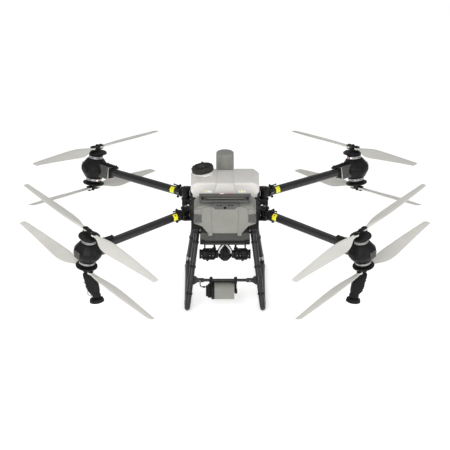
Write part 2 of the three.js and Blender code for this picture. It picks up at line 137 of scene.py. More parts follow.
class Value:
    """One shader socket, or the tree it lives in."""

    def __init__(self, tree, socket=None):
        self.tree = tree
        self.socket = socket

    def node(self, kind, settings=None, out=0, **inputs):
        """Adds a node: its settings first, then values or links by socket name, or i and a number."""
        made = self.tree.nodes.new(kind)
        for name, setting in (settings or {}).items():
            setattr(made, name, setting)
        for name, given in inputs.items():
            key = int(name[1:]) if name[0] == "i" and name[1:].isdigit() else name.replace("_", " ")
            self.feed(made.inputs[key], given)
        return Value(self.tree, made.outputs[out])

    def feed(self, socket, given):
        """Links another value to a socket, or sets the socket to a number or a colour."""
        if isinstance(given, Value):
            self.tree.links.new(given.socket, socket)
        elif isinstance(given, tuple) and len(given) == 3 and socket.type == "RGBA":
            socket.default_value = (*given, 1)
        else:
            socket.default_value = given

    def _math(self, operation, *values):
        inputs = {f"i{i}": value for i, value in enumerate(values)}
        return self.node("ShaderNodeMath", {"operation": operation}, **inputs)

    def __add__(self, other):
        return self._math("ADD", self, other)

    __radd__ = __add__

    def __mul__(self, other):
        return self._math("MULTIPLY", self, other)

    __rmul__ = __mul__

    def __sub__(self, other):
        return self._math("SUBTRACT", self, other)

    def __rsub__(self, other):
        return self._math("SUBTRACT", other, self)

    def above(self, edge, softness=0.1):
        """0 below the edge and 1 above it, with a soft step between."""
        settings = {"interpolation_type": "SMOOTHSTEP"}
        limits = {"From_Min": edge - softness, "From_Max": edge + softness}
        return self.node("ShaderNodeMapRange", settings, Value=self, **limits)

    def mix(self, low, high):
        """Colour between two colours, by this factor."""
        return self.node("ShaderNodeMix", {"data_type": "RGBA"}, out=2, i0=self, i6=low, i7=high)


print("socket operators: + - *")

# %% [markdown]
# Three helpers come back in nearly every finish. Noise could be read from a tiled file, but a tile stretches and
# repeats; a noise node works in the piece's own metres, so its grain has one size all over the machine. The second
# helper finds what faces the sky, where dust settles and where painted light and painted shade go on the tops, and
# the third turns a height into a bump.

# %% Noise, sky and bump
NORMAL_OUT, OBJECT_OUT = 1, 3


def noise(values, scale, detail=3, roughness=0.55):
    """Cloudy noise in metres, the same size on every piece."""
    place = values.node("ShaderNodeTexCoord", out=OBJECT_OUT)
    return values.node("ShaderNodeTexNoise", Vector=place, Scale=scale, Detail=detail, Roughness=roughness)


def facing_up(values):
    """1 on surfaces that look at the sky."""
    normal = values.node("ShaderNodeTexCoord", out=NORMAL_OUT)
    return values.node("ShaderNodeSeparateXYZ", Vector=normal, out=2)


def bump(values, height, distance, strength):
    """Turns a height into a Normal. The distance is in metres."""
    return values.node("ShaderNodeBump", Height=height, Distance=distance, Strength=strength)


print("texture node outputs in use:", NORMAL_OUT, "and", OBJECT_OUT)

# %% [markdown]
# Each finish is one short function that says what feeds each socket of the surface. A decorator makes the
# material round it and files it under its name, so a finish can be read on its own and nothing has to be
# repeated from one to the next. Numbers that don't change over the surface are set straight on the socket.

# %% Making a material from a function
MATERIALS = {}


def material(name, constants=None):
    """Decorator: the function below it paints the surface, and the result is kept under that name."""

    def make(paint):
        made = bpy.data.materials.new(name)
        made.use_nodes = True
        tree = made.node_tree
        shader = tree.nodes["Principled BSDF"]
        for socket, number in (constants or {}).items():
            shader.inputs[socket].default_value = number
        values = Value(tree)
        for socket, result in paint(values).items():
            values.feed(shader.inputs[socket.replace("_", " ")], result)
        MATERIALS[name] = made
        print("finish", name)
        return paint

    return make

# %% [markdown]
# Moulded plastics all share a recipe: a fine grain in the bump, slow cloudy change in the colour, and a thin paler
# veil in patches on what faces the sky, partly dust and partly painted light that brightens the tops. Each could
# have its own network, but only the colours and the sizes differ, so one function paints them all and stays easy
# to correct.

# %% Moulded plastics


def moulded(values, dark, light, dust_and_top_light, grain=900.0, depth=0.00012, rough=(0.45, 0.6)):
    cloud = noise(values, 9, 4)
    fine = noise(values, grain, 2)
    scuff = noise(values, 60, 5, 0.7).above(0.62, 0.08)
    # the paler veil on upward faces is partly dust and partly painted light on the tops
    sky = facing_up(values).above(0.55, 0.4)
    veil = sky * noise(values, 25, 4).above(0.5, 0.25) * 0.35
    tone = cloud.above(0.5, 0.3).mix(dark, light)
    worn = (scuff * 0.25).mix(tone, light)
    return {
        "Base_Color": veil.mix(worn, dust_and_top_light),
        "Roughness": fine * (rough[1] - rough[0]) + veil * 0.2 + rough[0],
        "Normal": bump(values, fine, depth, 0.5),
    }


@material("black_moulding", {"Specular IOR Level": 0.16})
def paint_black(values):
    # the third colour, on what faces up, is dust and painted light that brightens the hub tops
    dark, light, dust_and_top_light = (0.006, 0.006, 0.0065), (0.011, 0.011, 0.0115), (0.04, 0.039, 0.037)
    return moulded(values, dark, light, dust_and_top_light, rough=(0.34, 0.5))


@material("cap_moulding", {"Specular IOR Level": 0.25})
def paint_cap(values):
    dark, light, dust_and_top_light = (0.017, 0.0165, 0.016), (0.03, 0.029, 0.027), (0.06, 0.057, 0.052)
    return moulded(values, dark, light, dust_and_top_light, rough=(0.4, 0.55))


@material("tray_moulding")
def paint_tray(values):
    return moulded(values, (0.042, 0.042, 0.039), (0.056, 0.056, 0.051), (0.085, 0.083, 0.078))


@material("battery_moulding")
def paint_battery(values):
    return moulded(values, (0.225, 0.224, 0.2), (0.262, 0.26, 0.233), (0.33, 0.325, 0.3), grain=700)


@material("handle_moulding")
def paint_handle(values):
    return moulded(values, (0.075, 0.075, 0.072), (0.1, 0.1, 0.096), (0.15, 0.148, 0.14))


@material("housing_moulding")
def paint_housing(values):
    dark, light, dust_and_top_light = (0.225, 0.223, 0.2), (0.26, 0.258, 0.232), (0.34, 0.335, 0.31)
    return moulded(values, dark, light, dust_and_top_light, rough=(0.4, 0.52))


@material("rubber", {"Specular IOR Level": 0.3})
def paint_rubber(values):
    dark, light, dust_and_top_light = (0.01, 0.01, 0.01), (0.02, 0.02, 0.02), (0.05, 0.048, 0.045)
    return moulded(values, dark, light, dust_and_top_light, grain=400, depth=0.0002, rough=(0.7, 0.85))


@material("hose_rubber")
def paint_hose(values):
    pale, bright, dust_and_top_light = (0.5, 0.49, 0.46), (0.6, 0.59, 0.56), (0.65, 0.64, 0.6)
    return moulded(values, pale, bright, dust_and_top_light, grain=500, depth=0.0002, rough=(0.4, 0.55))

# %% [markdown]
# The tank is blow moulded in a milky plastic. It could be plain white, but then it would look like paint: here
# light goes a little way in and comes out softened, which a subsurface weight gives. The skin is uneven too, with
# long shallow ripples from the mould and a faint change of tone where the wall is thin, and the faces that look up
# are painted a little darker, as painted shade on the top.

# %% Tank plastic


@material("tank_plastic", {"Subsurface Weight": 0.12, "Subsurface Scale": 0.012, "Specular IOR Level": 0.4})
def paint_tank(values):
    cloud = noise(values, 6, 3).above(0.5, 0.3)
    ripple = noise(values, 22, 2, 0.4)
    fine = noise(values, 500, 2)
    # painted shade: faces that look up are mixed toward a darker grey
    sky = facing_up(values).above(0.6, 0.3)
    milk = cloud.mix((0.79, 0.765, 0.735), (0.84, 0.82, 0.79))
    return {
        "Base_Color": (sky * 0.35).mix(milk, (0.66, 0.635, 0.61)),
        "Roughness": fine * 0.12 + ripple * 0.1 + 0.3,
        "Normal": bump(values, ripple * 0.8 + fine * 0.1, 0.0015, 0.35),
    }

# %% [markdown]
# Blades are pressed from a glass-filled nylon and painted ivory. A flat colour would make all sixteen look
# cut from card, so the colour drifts slightly along them, flecks of dust and insects dull the paint, and a
# thin clear coat gives an uneven gloss.

# %% Blade paint


@material("blade_paint", {"Specular IOR Level": 0.5, "Coat Roughness": 0.3})
def paint_blade(values):
    cloud = noise(values, 5, 3).above(0.5, 0.3)
    fleck = noise(values, 240, 3, 0.6).above(0.7, 0.05)
    fine = noise(values, 600, 2)
    ivory = cloud.mix((0.69, 0.674, 0.628), (0.76, 0.742, 0.697))
    return {
        "Base_Color": (fleck * 0.2).mix(ivory, (0.5, 0.47, 0.41)),
        "Roughness": fine * 0.15 + 0.32,
        "Coat_Weight": 0.15 + cloud * 0.1,
        "Normal": bump(values, fine, 0.0001, 0.4),
    }

# %% [markdown]
# The tubes are wound carbon fibre under clear resin. Modelling the cloth would cost millions of faces for
# something a fraction of a millimetre deep. Two wave patterns, turned across each other and multiplied,
# leave a lattice of short bars like a twill, and it feeds the colour and a shallow bump.

# %% Carbon tube


@material("carbon_tube", {"Specular IOR Level": 0.3, "Coat Roughness": 0.25})
def paint_carbon(values):
    place = values.node("ShaderNodeTexCoord", out=OBJECT_OUT)
    waves = []
    for lean in ((0, 0, math.radians(45)), (0, math.radians(45), math.radians(-45))):
        spun = values.node("ShaderNodeMapping", Vector=place, Rotation=lean)
        waves.append(values.node("ShaderNodeTexWave", Vector=spun, Scale=95.0, Distortion=0.6, out=1))
    weave = waves[0] * waves[1]
    fine = noise(values, 300, 3)
    cloth = weave.above(0.45, 0.3).mix((0.012, 0.012, 0.0125), (0.026, 0.026, 0.027))
    veil = facing_up(values).above(0.5, 0.4) * noise(values, 20, 4).above(0.5, 0.25) * 0.25
    return {
        "Base_Color": veil.mix(cloth, (0.05, 0.049, 0.046)),
        "Roughness": fine * 0.15 + weave * 0.08 + 0.3,
        "Coat_Weight": fine * 0.15 + 0.1,
        "Normal": bump(values, weave + fine * 0.2, 0.0003, 0.35),
    }

# %% [markdown]
# Bright metal is machined aluminium: rings, bolts and the heat sink's end plate. The fins are anodised,
# which is greyer and less like a mirror. Both have faint streaks from the cutter, drawn by one noise that
# changes colour, gloss and bump together, because on real metal they change together.

# %% Metals


@material("machined_metal", {"Metallic": 1.0})
def paint_metal(values):
    streak = noise(values, 180, 4, 0.6)
    return {
        "Base_Color": streak.above(0.5, 0.3).mix((0.3, 0.3, 0.3), (0.5, 0.5, 0.49)),
        "Roughness": streak * 0.2 + 0.22,
        "Normal": bump(values, streak, 0.0001, 0.3),
    }


@material("anodised_metal", {"Metallic": 0.7})
def paint_anodised(values):
    streak = noise(values, 220, 3, 0.6)
    return {
        "Base_Color": streak.above(0.5, 0.3).mix((0.15, 0.15, 0.142), (0.24, 0.24, 0.225)),
        "Roughness": streak * 0.2 + 0.34,
        "Normal": bump(values, streak, 0.0001, 0.3),
    }

# %% [markdown]
# Markers are printed or stuck on, and sun and solvent fade them in patches. The ink could be one flat colour;
# mixing it toward a paler one where the noise is high makes it look used. The white has a faint glow of its own,
# painted light that keeps it a little brighter than anything near it, and the signal lens is lit from inside.

# %% Markers and the lamp


def printed(values, ink):
    faded = tuple(0.85 * c + 0.08 for c in ink)
    kept = 1 - noise(values, 120, 3).above(0.55, 0.3)
    return {"Base_Color": kept.mix(faded, ink), "Roughness": 0.5 - kept * 0.15}


@material("yellow_marker")
def paint_yellow(values):
    return printed(values, (0.9, 0.86, 0.0))


@material("red_marker")
def paint_red(values):
    return printed(values, (0.75, 0.03, 0.02))


# painted light: a faint emission makes the white glow
@material("glowing_white_marker", {"Emission Strength": 0.3})
def paint_white(values):
    return {**printed(values, (0.9, 0.9, 0.88)), "Emission_Color": (1.0, 1.0, 0.97)}


@material("lamp_lens", {"Emission Strength": 1.6})
def paint_lamp(values):
    glow = noise(values, 300, 2).above(0.5, 0.3)
    return {
        "Base_Color": (0.9, 0.7, 0.7),
        "Roughness": glow * 0.1 + 0.1,
        "Emission_Color": glow.mix((1.0, 0.55, 0.55), (1.0, 0.75, 0.72)),
    }


print(len(MATERIALS), "materials")

# %% [markdown]
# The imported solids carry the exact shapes, and each came with the name of its material. We could colour
# them one by one, but a table from that name to a finish dresses them all, and none is left bare.

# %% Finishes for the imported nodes
FINISH = {
    "carbon": "carbon_tube", "black": "black_moulding", "blade": "blade_paint", "tank": "tank_plastic",
    "battery": "battery_moulding", "handle": "handle_moulding", "housing": "housing_moulding",
    "tray": "tray_moulding", "cable": "rubber",
}
SLOT_OF_NODE = {row["node"]: row["material_slot"] for row in frame["record"]["subparts"]}
for name, node in frame["nodes"].items():
    finish = "black_moulding" if name == "centre_frame" else FINISH[SLOT_OF_NODE[name]]
    node.data.materials.clear()
    node.data.materials.append(MATERIALS[finish])
print(len(SLOT_OF_NODE), "packed solids dressed")

# %% [markdown]
# Every added piece is grown in a bmesh, in millimetres, in the frame of the arm or body that it sits on,
# and scaled to metres at the end. It could be built from modifiers on simple solids, but mesh code keeps
# each shape in one place and leaves nothing to apply. No moulded or machined edge is perfectly sharp, so
# each form bevels its own edges before it joins the others. The bevels are what catch the light.

# %% A mesh that grows form by form
SHARP = math.radians(34)
BEVELLED = math.radians(18)


class Form:
    """A growing mesh, in millimetres, in the frame of one place."""

    def __init__(self, place):
        self.mesh = bmesh.new()
        self.place = place

    def keep(self, made, at=None, bevel=0.0, segments=2):
        """Bevels a finished form, puts it in place and joins it to the rest."""
        bmesh.ops.recalc_face_normals(made, faces=made.faces)
        if bevel:
            edges = [e for e in made.edges if e.is_manifold and e.calc_face_angle(0) > BEVELLED]
            bmesh.ops.bevel(made, geom=edges, offset=bevel, segments=segments, profile=0.5, affect="EDGES")
        made.transform(at or Matrix())
        mesh = bpy.data.meshes.new("form")
        made.to_mesh(mesh)
        made.free()
        self.mesh.from_mesh(mesh)
        bpy.data.meshes.remove(mesh)
        return self

    def hull(self, points, bevel=1.5, at=None, segments=2):
        """Smallest convex form round some points."""
        made = bmesh.new()
        for point in points:
            made.verts.new(point)
        found = bmesh.ops.convex_hull(made, input=made.verts)
        inner = found["geom_interior"] + found["geom_unused"]
        loose = {v for v in inner if isinstance(v, bmesh.types.BMVert)}
        bmesh.ops.delete(made, geom=list(loose), context="VERTS")
        bmesh.ops.dissolve_limit(made, angle_limit=math.radians(1), verts=made.verts, edges=made.edges)
        return self.keep(made, at, bevel, segments)

    def block(self, x, y, z, bevel=1.5, at=None):
        """Box between two limits on each axis."""
        return self.hull([(a, b, c) for a in x for b in y for c in z], bevel, at)

    def prism(self, outline, z, bevel=1.0, at=None):
        """Flat outline raised from one height to another."""
        made = bmesh.new()
        base = made.faces.new([made.verts.new((a, b, z[0])) for a, b in outline])
        raised = bmesh.ops.extrude_face_region(made, geom=[base])["geom"]
        tops = [v for v in raised if isinstance(v, bmesh.types.BMVert)]
        bmesh.ops.translate(made, vec=(0, 0, z[1] - z[0]), verts=tops)
        return self.keep(made, at, bevel)

    def lathe(self, profile, sides=48, at=None, bevel=0.8, wave=None):
        """Turned form through (radius, height) points; wave changes the radius with the angle."""
        made = bmesh.new()
        rings = []
        for radius, height in profile:
            if radius == 0:
                rings.append([made.verts.new((0, 0, height))] * sides)
                continue
            ring = []
            for k in range(sides):
                t = 2 * math.pi * (k + 0.5) / sides
                r = radius * (wave(t, height) if wave else 1)
                ring.append(made.verts.new((r * math.cos(t), r * math.sin(t), height)))
            rings.append(ring)
        self._skin(made, rings)
        return self.keep(made, at, bevel)

    def disc(self, radius, heights, sides=48, at=None, bevel=0.8):
        """Solid disc between two heights. With six sides it is a bolt's head."""
        low, high = heights
        return self.lathe([(0, low), (radius, low), (radius, high), (0, high)], sides, at, bevel)

    def ring(self, radii, heights, sides=48, at=None, bevel=0.8):
        """Square-edged ring between two radii and two heights."""
        (inner, outer), (low, high) = radii, heights
        outline = [(inner, low), (outer, low), (outer, high), (inner, high), (inner, low)]
        return self.lathe(outline, sides, at, bevel)

    def skin(self, rings, at=None, bevel=0.0):
        """Skin over closed rings of points, with flat ends."""
        made = bmesh.new()
        verts = [[made.verts.new(point) for point in ring] for ring in rings]
        self._skin(made, verts)
        made.faces.new(verts[0])
        made.faces.new(verts[-1])
        return self.keep(made, at, bevel)

    def _skin(self, made, rings):
        for low, high in zip(rings, rings[1:]):
            for k in range(len(low)):
                j = (k + 1) % len(low)
                corners = dict.fromkeys((low[k], low[j], high[j], high[k]))
                if len(corners) > 2:
                    made.faces.new(tuple(corners))

    def tube(self, path, radius, sides=16, steps=6, bevel=0.0, at=None):
        """Round tube that runs smoothly through a few points."""
        points = smooth_path([Vector(p) for p in path], steps)
        rings = []
        side = (points[1] - points[0]).orthogonal().normalized()
        for i, point in enumerate(points):
            along = (points[min(i + 1, len(points) - 1)] - points[max(i - 1, 0)]).normalized()
            side = (side - along * side.dot(along)).normalized()
            over = along.cross(side)
            angles = [2 * math.pi * k / sides for k in range(sides)]
            rings.append([point + radius * (side * math.cos(t) + over * math.sin(t)) for t in angles])
        return self.skin(rings, at, bevel)

    def finish(self, name, body, finish, *nodes):
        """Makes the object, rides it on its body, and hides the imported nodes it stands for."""
        self.mesh.transform(self.place @ Matrix.Scale(MM, 4))
        for face in self.mesh.faces:
            face.smooth = True
        for edge in self.mesh.edges:
            edge.smooth = not edge.is_manifold or edge.calc_face_angle(0) < SHARP
        mesh = bpy.data.meshes.new(name)
        self.mesh.to_mesh(mesh)
        self.mesh.free()
        mesh.materials.append(MATERIALS[finish])
        made = bpy.data.objects.new(name, mesh)
        bpy.context.scene.collection.objects.link(made)
        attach(made, body)
        if nodes:
            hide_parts(*nodes)
        return made


def smooth_path(points, steps):
    """Points on a Catmull-Rom curve through the given ones."""
    if len(points) < 3:
        return points
    ends = [2 * points[0] - points[1], *points, 2 * points[-1] - points[-2]]
    found = []
    for a, b, c, d in zip(ends, ends[1:], ends[2:], ends[3:]):
        for i in range(steps):
            t = i / steps
            found.append(0.5 * (2 * b + t * (c - a) + t * t * (2 * a - 5 * b + 4 * c - d)
                                + t ** 3 * (3 * b - a - 3 * c + d)))
    return found + [points[-1]]


def shift(x=0, y=0, z=0):
    return Matrix.Translation((x, y, z))


def turn(degrees, axis):
    return Matrix.Rotation(math.radians(degrees), 4, axis)


def span(side, near, far):
    """Two limits on one side of the middle, the lower one first."""
    return tuple(sorted((side * near, side * far)))


print("forms: hull, block, prism, lathe, disc, ring, skin and tube")

# %% [markdown]
# A rotor blade is a twisted wing. Near the hub it is a thick flat tongue round the folding pin, then it
# swells to its widest chord and tapers to a blunt tip. It could be cut from a bent sheet, but a sheet has
# no thickness to light. The skin runs over many thin slices instead, whose chord, thickness and pitch come
# from a short table, smoothly filled in, so no facet shows along it.

# %% Blades
TONGUE_L, BLEND_L = 34, 60
# distance from the pin, leading edge, trailing edge, thickness, pitch in degrees
BLADE_TABLE = [
    (8, 13, -13, 12, 0), (38, 15, -15, 12, 2), (68, 23, -25, 12.5, 9), (105, 31, -43, 12, 14),
    (150, 37, -56, 11, 16), (215, 39, -60, 9.5, 15), (330, 37, -51, 7.5, 12), (500, 30, -35, 5.5, 9),
    (615, 23, -25, 4.2, 7), (636, 18, -24, 3.4, 7), (644, 7, -22, 2.4, 7),
]


def blade_slice(row, hand, count=28):
    """One closed slice of a blade: a rounded bar at the root, a wing section further out."""
    x, lead, trail, thick, pitch = row
    flat = 1 - min(max((x - TONGUE_L) / BLEND_L, 0), 1)
    wing_share = 1 - flat * flat * (3 - 2 * flat)
    a = math.radians(pitch)
    ring = []
    for k in range(count):
        t = 2 * math.pi * k / count
        c = (1 - math.cos(t)) / 2
        wing = 5 * (0.2969 * math.sqrt(c) - 0.126 * c - 0.3516 * c**2 + 0.2843 * c**3 - 0.1036 * c**4)
        bar = 0.5 * abs(math.sin(t)) ** 0.4
        half = thick * (wing_share * max(wing, 0.03) + (1 - wing_share) * bar)
        camber = wing_share * 0.16 * thick * 4 * c * (1 - c)
        y = lead + (trail - lead) * c
        z = camber + math.copysign(half, math.sin(t)) if 0 < k < count and k != count // 2 else camber
        ring.append((x, hand * (y * math.cos(a) - z * math.sin(a)), y * math.sin(a) + z * math.cos(a)))
    return ring


def blade_rows(steps=4):
    """The table, filled in smoothly between its rows."""
    widths = smooth_path([Vector((x, lead, trail)) for x, lead, trail, _, _ in BLADE_TABLE], steps)
    depths = smooth_path([Vector((x, thick, pitch)) for x, _, _, thick, pitch in BLADE_TABLE], steps)
    return [(*width, depth.y, depth.z) for width, depth in zip(widths, depths)]


ROWS = blade_rows()
for arm in ARMS:
    for (tier, tag), place in arm.blades.items():
        wing = Form(place)
        hand = arm.hand * (1 if tier == "upper" else -1)
        wing.skin([blade_slice(row, hand) for row in ROWS])
        wing.disc(17, (-6, 6), 40, bevel=1.2)
        label = f"{arm.label}_{tier}_{tag}"
        wing.finish(f"wing_{label}", f"blade_{label}", "blade_paint", f"blade_{label}")
print(len(ROWS), "slices in each of 16 blades")

# %% [markdown]
# The hub clamps two blades between two waisted plates on top of the motor's spinning bell, a shallow dish
# with a rolled rim. A plain disc would turn just as well, but the pins' hexagon heads, the four small
# bright screws and the shaft's nut are what give a rotor its scale. The bell and nut are turned forms, and
# the plates are flat outlines raised a few millimetres.

# %% Hub plates
PIN_OFF = 42
BORE_R, SHAFT_R = 12, 10.4
PLATE_HEIGHTS = ((-11, -6.5), (6.5, 11))


def waisted_plate(radius=20, waist=14):
    """Outline of a clamp plate: round at both pins and narrower between."""
    outline = []
    for side in (1, -1):
        for k in range(-5, 6):
            t = math.radians(15 * k) + (0 if side > 0 else math.pi)
            outline.append((side * PIN_OFF + radius * math.cos(t), radius * math.sin(t)))
        outline.append((0, side * waist))
    return outline


def half_plate(side):
    """One end of the plate, for a hub whose middle is open."""
    corners = [(x, y) for x, y in waisted_plate() if x * side > 14]
    return sorted(corners, key=lambda p: side * math.atan2(p[1], side * p[0] - 30))


def clamp_plates(form, bored):
    """The two plates and what stands between them."""
    for heights in PLATE_HEIGHTS:
        if bored:
            for side in (1, -1):
                form.prism(half_plate(side), heights, 0.8)
        else:
            form.prism(waisted_plate(), heights, 0.9)
    if bored:
        form.ring((BORE_R, 20), (-11, 11), 32)
    else:
        form.block((-18, 18), (-13, 13), (-7, 7), 1)
        form.lathe([(0, 11), (12, 11), (12, 18), (8, 21), (0, 21)], 6, bevel=0.8)


print("clamp plate of", len(waisted_plate()), "corners")

# %% [markdown]
# The near lower hubs differ in one way: the spray stem passes through them, so they are bored. Two sets of
# shapes would have to be kept alike by hand, so one function makes both and asks which bore it needs.

# %% Hubs


def bell_and_neck(form, bored):
    inner = BORE_R if bored else SHAFT_R
    bell = [(inner, -37), (64, -37), (69, -34.5), (69, -28), (66, -25), (58, -25.5), (34, -21), (24, -20),
            (inner, -20), (inner, -37)]
    form.lathe(bell, 72, bevel=0.9)
    if bored:
        form.ring((BORE_R, 24), (-20, -11), 40)
    else:
        form.disc(24, (-24, -11), 40)
    for t in range(0, 360, 30):
        low = [(30, y, z) for y in (-1.5, 1.5) for z in (-24, -19.5)]
        high = [(62, y, z) for y in (-1.5, 1.5) for z in (-27, -24)]
        form.hull(low + high, 0.5, turn(t, "Z"))


def build_hub(arm, tier, place):
    up = place if tier == "upper" else place @ turn(180, "X")
    bored = arm.near and tier == "lower"
    label = f"{arm.label}_{tier}"
    black = Form(up)
    bell_and_neck(black, bored)
    clamp_plates(black, bored)
    for x in (-PIN_OFF, PIN_OFF):
        pin = [(0, -13.5), (5.8, -13.5), (5.8, 11), (10, 11), (10, 15.5), (0, 15.5)]
        black.lathe(pin, 24, shift(x))
        black.disc(6, (15, 18.5), 6, shift(x), 0.5)
    black.finish(f"clamp_{label}", f"hub_{label}", "black_moulding", f"hub_{label}")
    bright = Form(up)
    for x in (-27, 27):
        for y in (-11, 11):
            bright.disc(2.6, (0, 1.8), 6, shift(x, y, 11), 0.35)
    bright.finish(f"clamp_screws_{label}", f"hub_{label}", "machined_metal")


for arm in ARMS:
    for tier, place in arm.hubs.items():
        build_hub(arm, tier, place)
print("8 hubs")

# %% [markdown]
# The motor pod holds two motors back to back in a faceted shell, like a cut stone, with a neck above and
# below. A hull could make it, but a turned form with twelve sides gives the same facets from one outline.
# Behind it the speed controller's heat sink ends in a bright plate that grips the arm.

# %% Motor pod shell
SINK_L = 150


def pod_shell(form, open_foot):
    facets = [(0, -66), (54, -66), (63, -59), (88, -20), (91.5, -11), (91.5, 8), (88, 17), (58, 58), (50, 64),
              (0, 64)]
    form.lathe(facets, 12, turn(15, "Z"), bevel=2.6)
    upper = [(0, 60), (50, 60), (50, 66), (43, 67), (43, 80), (47, 82), (47, 90), (42, 95), (10, 95),
             (10, 106), (0, 106)]
    form.lathe(upper, 64)
    lower = [(0, -60), (55, -60), (55, -67), (47, -69), (47, -82), (50, -84), (50, -92), (46, -95)]
    lower += [(12, -95), (0, -95)] if open_foot else [(10, -95), (10, -106), (0, -106)]
    form.lathe(lower[::-1], 64)
    for side in (-1, 1):
        form.block((-16, 16), (side * 84, side * 92), (-22, 16), 2)


def sink_body(form):
    """The heat sink's core, the rail above it and the foot below."""
    form.block((-SINK_L + 6, -50), (-28, 28), (-36, 34), 2)
    form.block((-SINK_L - 1, -SINK_L + 6), (-29, 29), (-36, 34), 3)
    rail = [(x, y, z) for x, w in ((-SINK_L - 50, 9), (-40, 12)) for y in (-w, w) for z in (38, 51)]
    crest = [(-60, y, 56) for y in (-8, 8)] + [(-SINK_L - 30, y, 56) for y in (-6, 6)]
    form.hull(rail + crest, 2)
    form.hull([(x, y, z) for x in (-76, -48) for y in (-26, 26) for z in (-50, -30)], 3)
    for x in (-SINK_L - 36, -112, -84):
        form.disc(4.5, (56, 60), 6, shift(x), 0.4)


for arm in ARMS:
    shell = Form(arm.pod)
    pod_shell(shell, open_foot=arm.near)
    sink_body(shell)
    shell.finish(f"motor_shell_{arm.label}", arm.body, "black_moulding", f"pod_{arm.label}")
print("4 motor shells")

# %% [markdown]
# Machined bands shine at both necks and the sink has a row of upright fins. Paint on the black shell would
# give a band its colour but not its edge, so the bands are rings of their own and stand a few millimetres
# proud. The fins are a loop of thin blocks, which costs little and catches the light as the real ones do.

# %% Bands, fins and cover
BANDS = ((65.5, 74, 47), (76, 82, 45.5), (-72, -66.5, 53), (-82, -74, 51))
FINS, FIN_PITCH = 10, 7.6


def build_bands(arm):
    bright = Form(arm.pod)
    for low, high, radius in BANDS:
        bright.ring((40, radius), (low, high), 64)
    plate = [(x, y, z) for x in (-SINK_L, -SINK_L + 10) for y in (-34, 34) for z in (-42, 40)]
    bright.hull(plate, 3.5, segments=3)
    for y in (-19, 19):
        for z in (-21, 15):
            bright.disc(2.4, (0, 1.6), 12, shift(92.6, y, z) @ turn(90, "Y"), 0.3)
    bright.finish(f"bright_bands_{arm.label}", arm.body, "machined_metal")


def build_fins(arm):
    fins = Form(arm.pod)
    for k in range(FINS):
        x = -64 - FIN_PITCH * k
        fins.block((x - 1.6, x + 1.6), (-34, 34), (-42, 40), 0.6)
    fins.finish(f"heat_fins_{arm.label}", arm.body, "anodised_metal")
    cover = Form(arm.pod)
    cover.block((84, 93), (-24, 24), (-24, 20), 2)
    cover.finish(f"pod_cover_{arm.label}", arm.body, "tray_moulding")


for arm in ARMS:
    build_bands(arm)
    build_fins(arm)
print(len(BANDS), "bands and", FINS, "fins on each pod")

# %% [markdown]
# Two far pods carry a signal lamp in one neck, lit and turned to the pilot. A lamp object would light the
# scene but have no body, so the lens is a small domed form with a glowing finish.

# %% Signal lamps
LAMP_HEIGHTS = {"far_left": -76, "far_right": 74}


def build_lamp(arm, height):
    """A lit signal lens in the neck, on the side that faces the pilot."""
    toward = arm.pod.to_3x3().inverted() @ Vector((0.45 if arm.left else -0.45, -0.9, 0))
    angle = math.degrees(math.atan2(toward.y, toward.x))
    radius = 47.5 if height < 0 else 43.5
    lens = Form(arm.pod)
    here = turn(angle, "Z") @ shift(radius, 0, height) @ turn(90, "Y")
    lens.lathe([(0, 0), (7, 0), (6.2, 2.6), (3.5, 4.2), (0, 4.6)], 24, here, bevel=0)
    lens.finish(f"lamp_{arm.label}", arm.body, "lamp_lens")


for arm in ARMS:
    if arm.label in LAMP_HEIGHTS:
        build_lamp(arm, LAMP_HEIGHTS[arm.label])
print(len(LAMP_HEIGHTS), "lamps")

# %% [markdown]
# Each arm is an eight-sided carbon tube that slopes down from its hinge to its pod. It could be a prism
# along the slope, but the collar at its root has to stay upright on the hinge, so both take their corners
# from one function that knows how far the tube has dropped at each distance.

# %% Arm tubes
TUBE_R, COLLAR_R, BARREL_R, PIN_R = 27.5, 33, 24, 8.4
DROP_FROM, COLLAR_OFF = 40, 8
EIGHT = [math.radians(22.5 + 45 * k) for k in range(8)]


def arm_drop(arm, x):
    """How far the tube has sloped down at a distance from its hinge."""
    return arm.drop * max(0, x - DROP_FROM) / (arm.length - DROP_FROM)


def octagon(arm, x, radius):
    """Corners of the arm's section at a distance from its hinge."""
    return [(x, radius * math.cos(t), radius * math.sin(t) - arm_drop(arm, x)) for t in EIGHT]


for arm in ARMS:
    tube = Form(arm.root)
    tube_end = arm.length - SINK_L
    tube.hull(octagon(arm, DROP_FROM, TUBE_R) + octagon(arm, tube_end - 0.3, TUBE_R), 4, segments=3)
    tube.finish(f"arm_tube_{arm.label}", arm.body, "carbon_tube", f"arm_{arm.label}")
print("4 arm tubes")

# %% [markdown]
# At the root a heavier collar takes the folding knuckle: a bored barrel on the hinge pin, two ears for the
# latch and a clamp of three rings. They could be one block with cuts, but hulls side by side show the
# joints between castings, which is how the real knuckle is bolted together.

# %% Knuckles and collars
LATCH_X = 62


def knuckle(form, off):
    """The barrel on the hinge pin, and the web out to the collar."""
    web = [(x, y, z) for x, half in ((10, 20), (40, 28)) for z in (-half, half)
           for y in (4 - half + off / 2, half - 4 + off)]
    form.hull(web, 3)
    form.ring((PIN_R, BARREL_R), (-30, 30), 48, bevel=1.5)
    ear = [(LATCH_X - 8, 20), (LATCH_X + 8, 20), (LATCH_X + 8, 38), (LATCH_X + 4, 43), (LATCH_X - 4, 43),
           (LATCH_X - 8, 38)]
    for y in (-17.5, 13):
        form.prism(ear, (-y - 4.5, -y), 0.8, turn(90, "X"))
    form.disc(3, (-14, 14), 16, shift(LATCH_X, 0, 36) @ turn(90, "X"), 0)


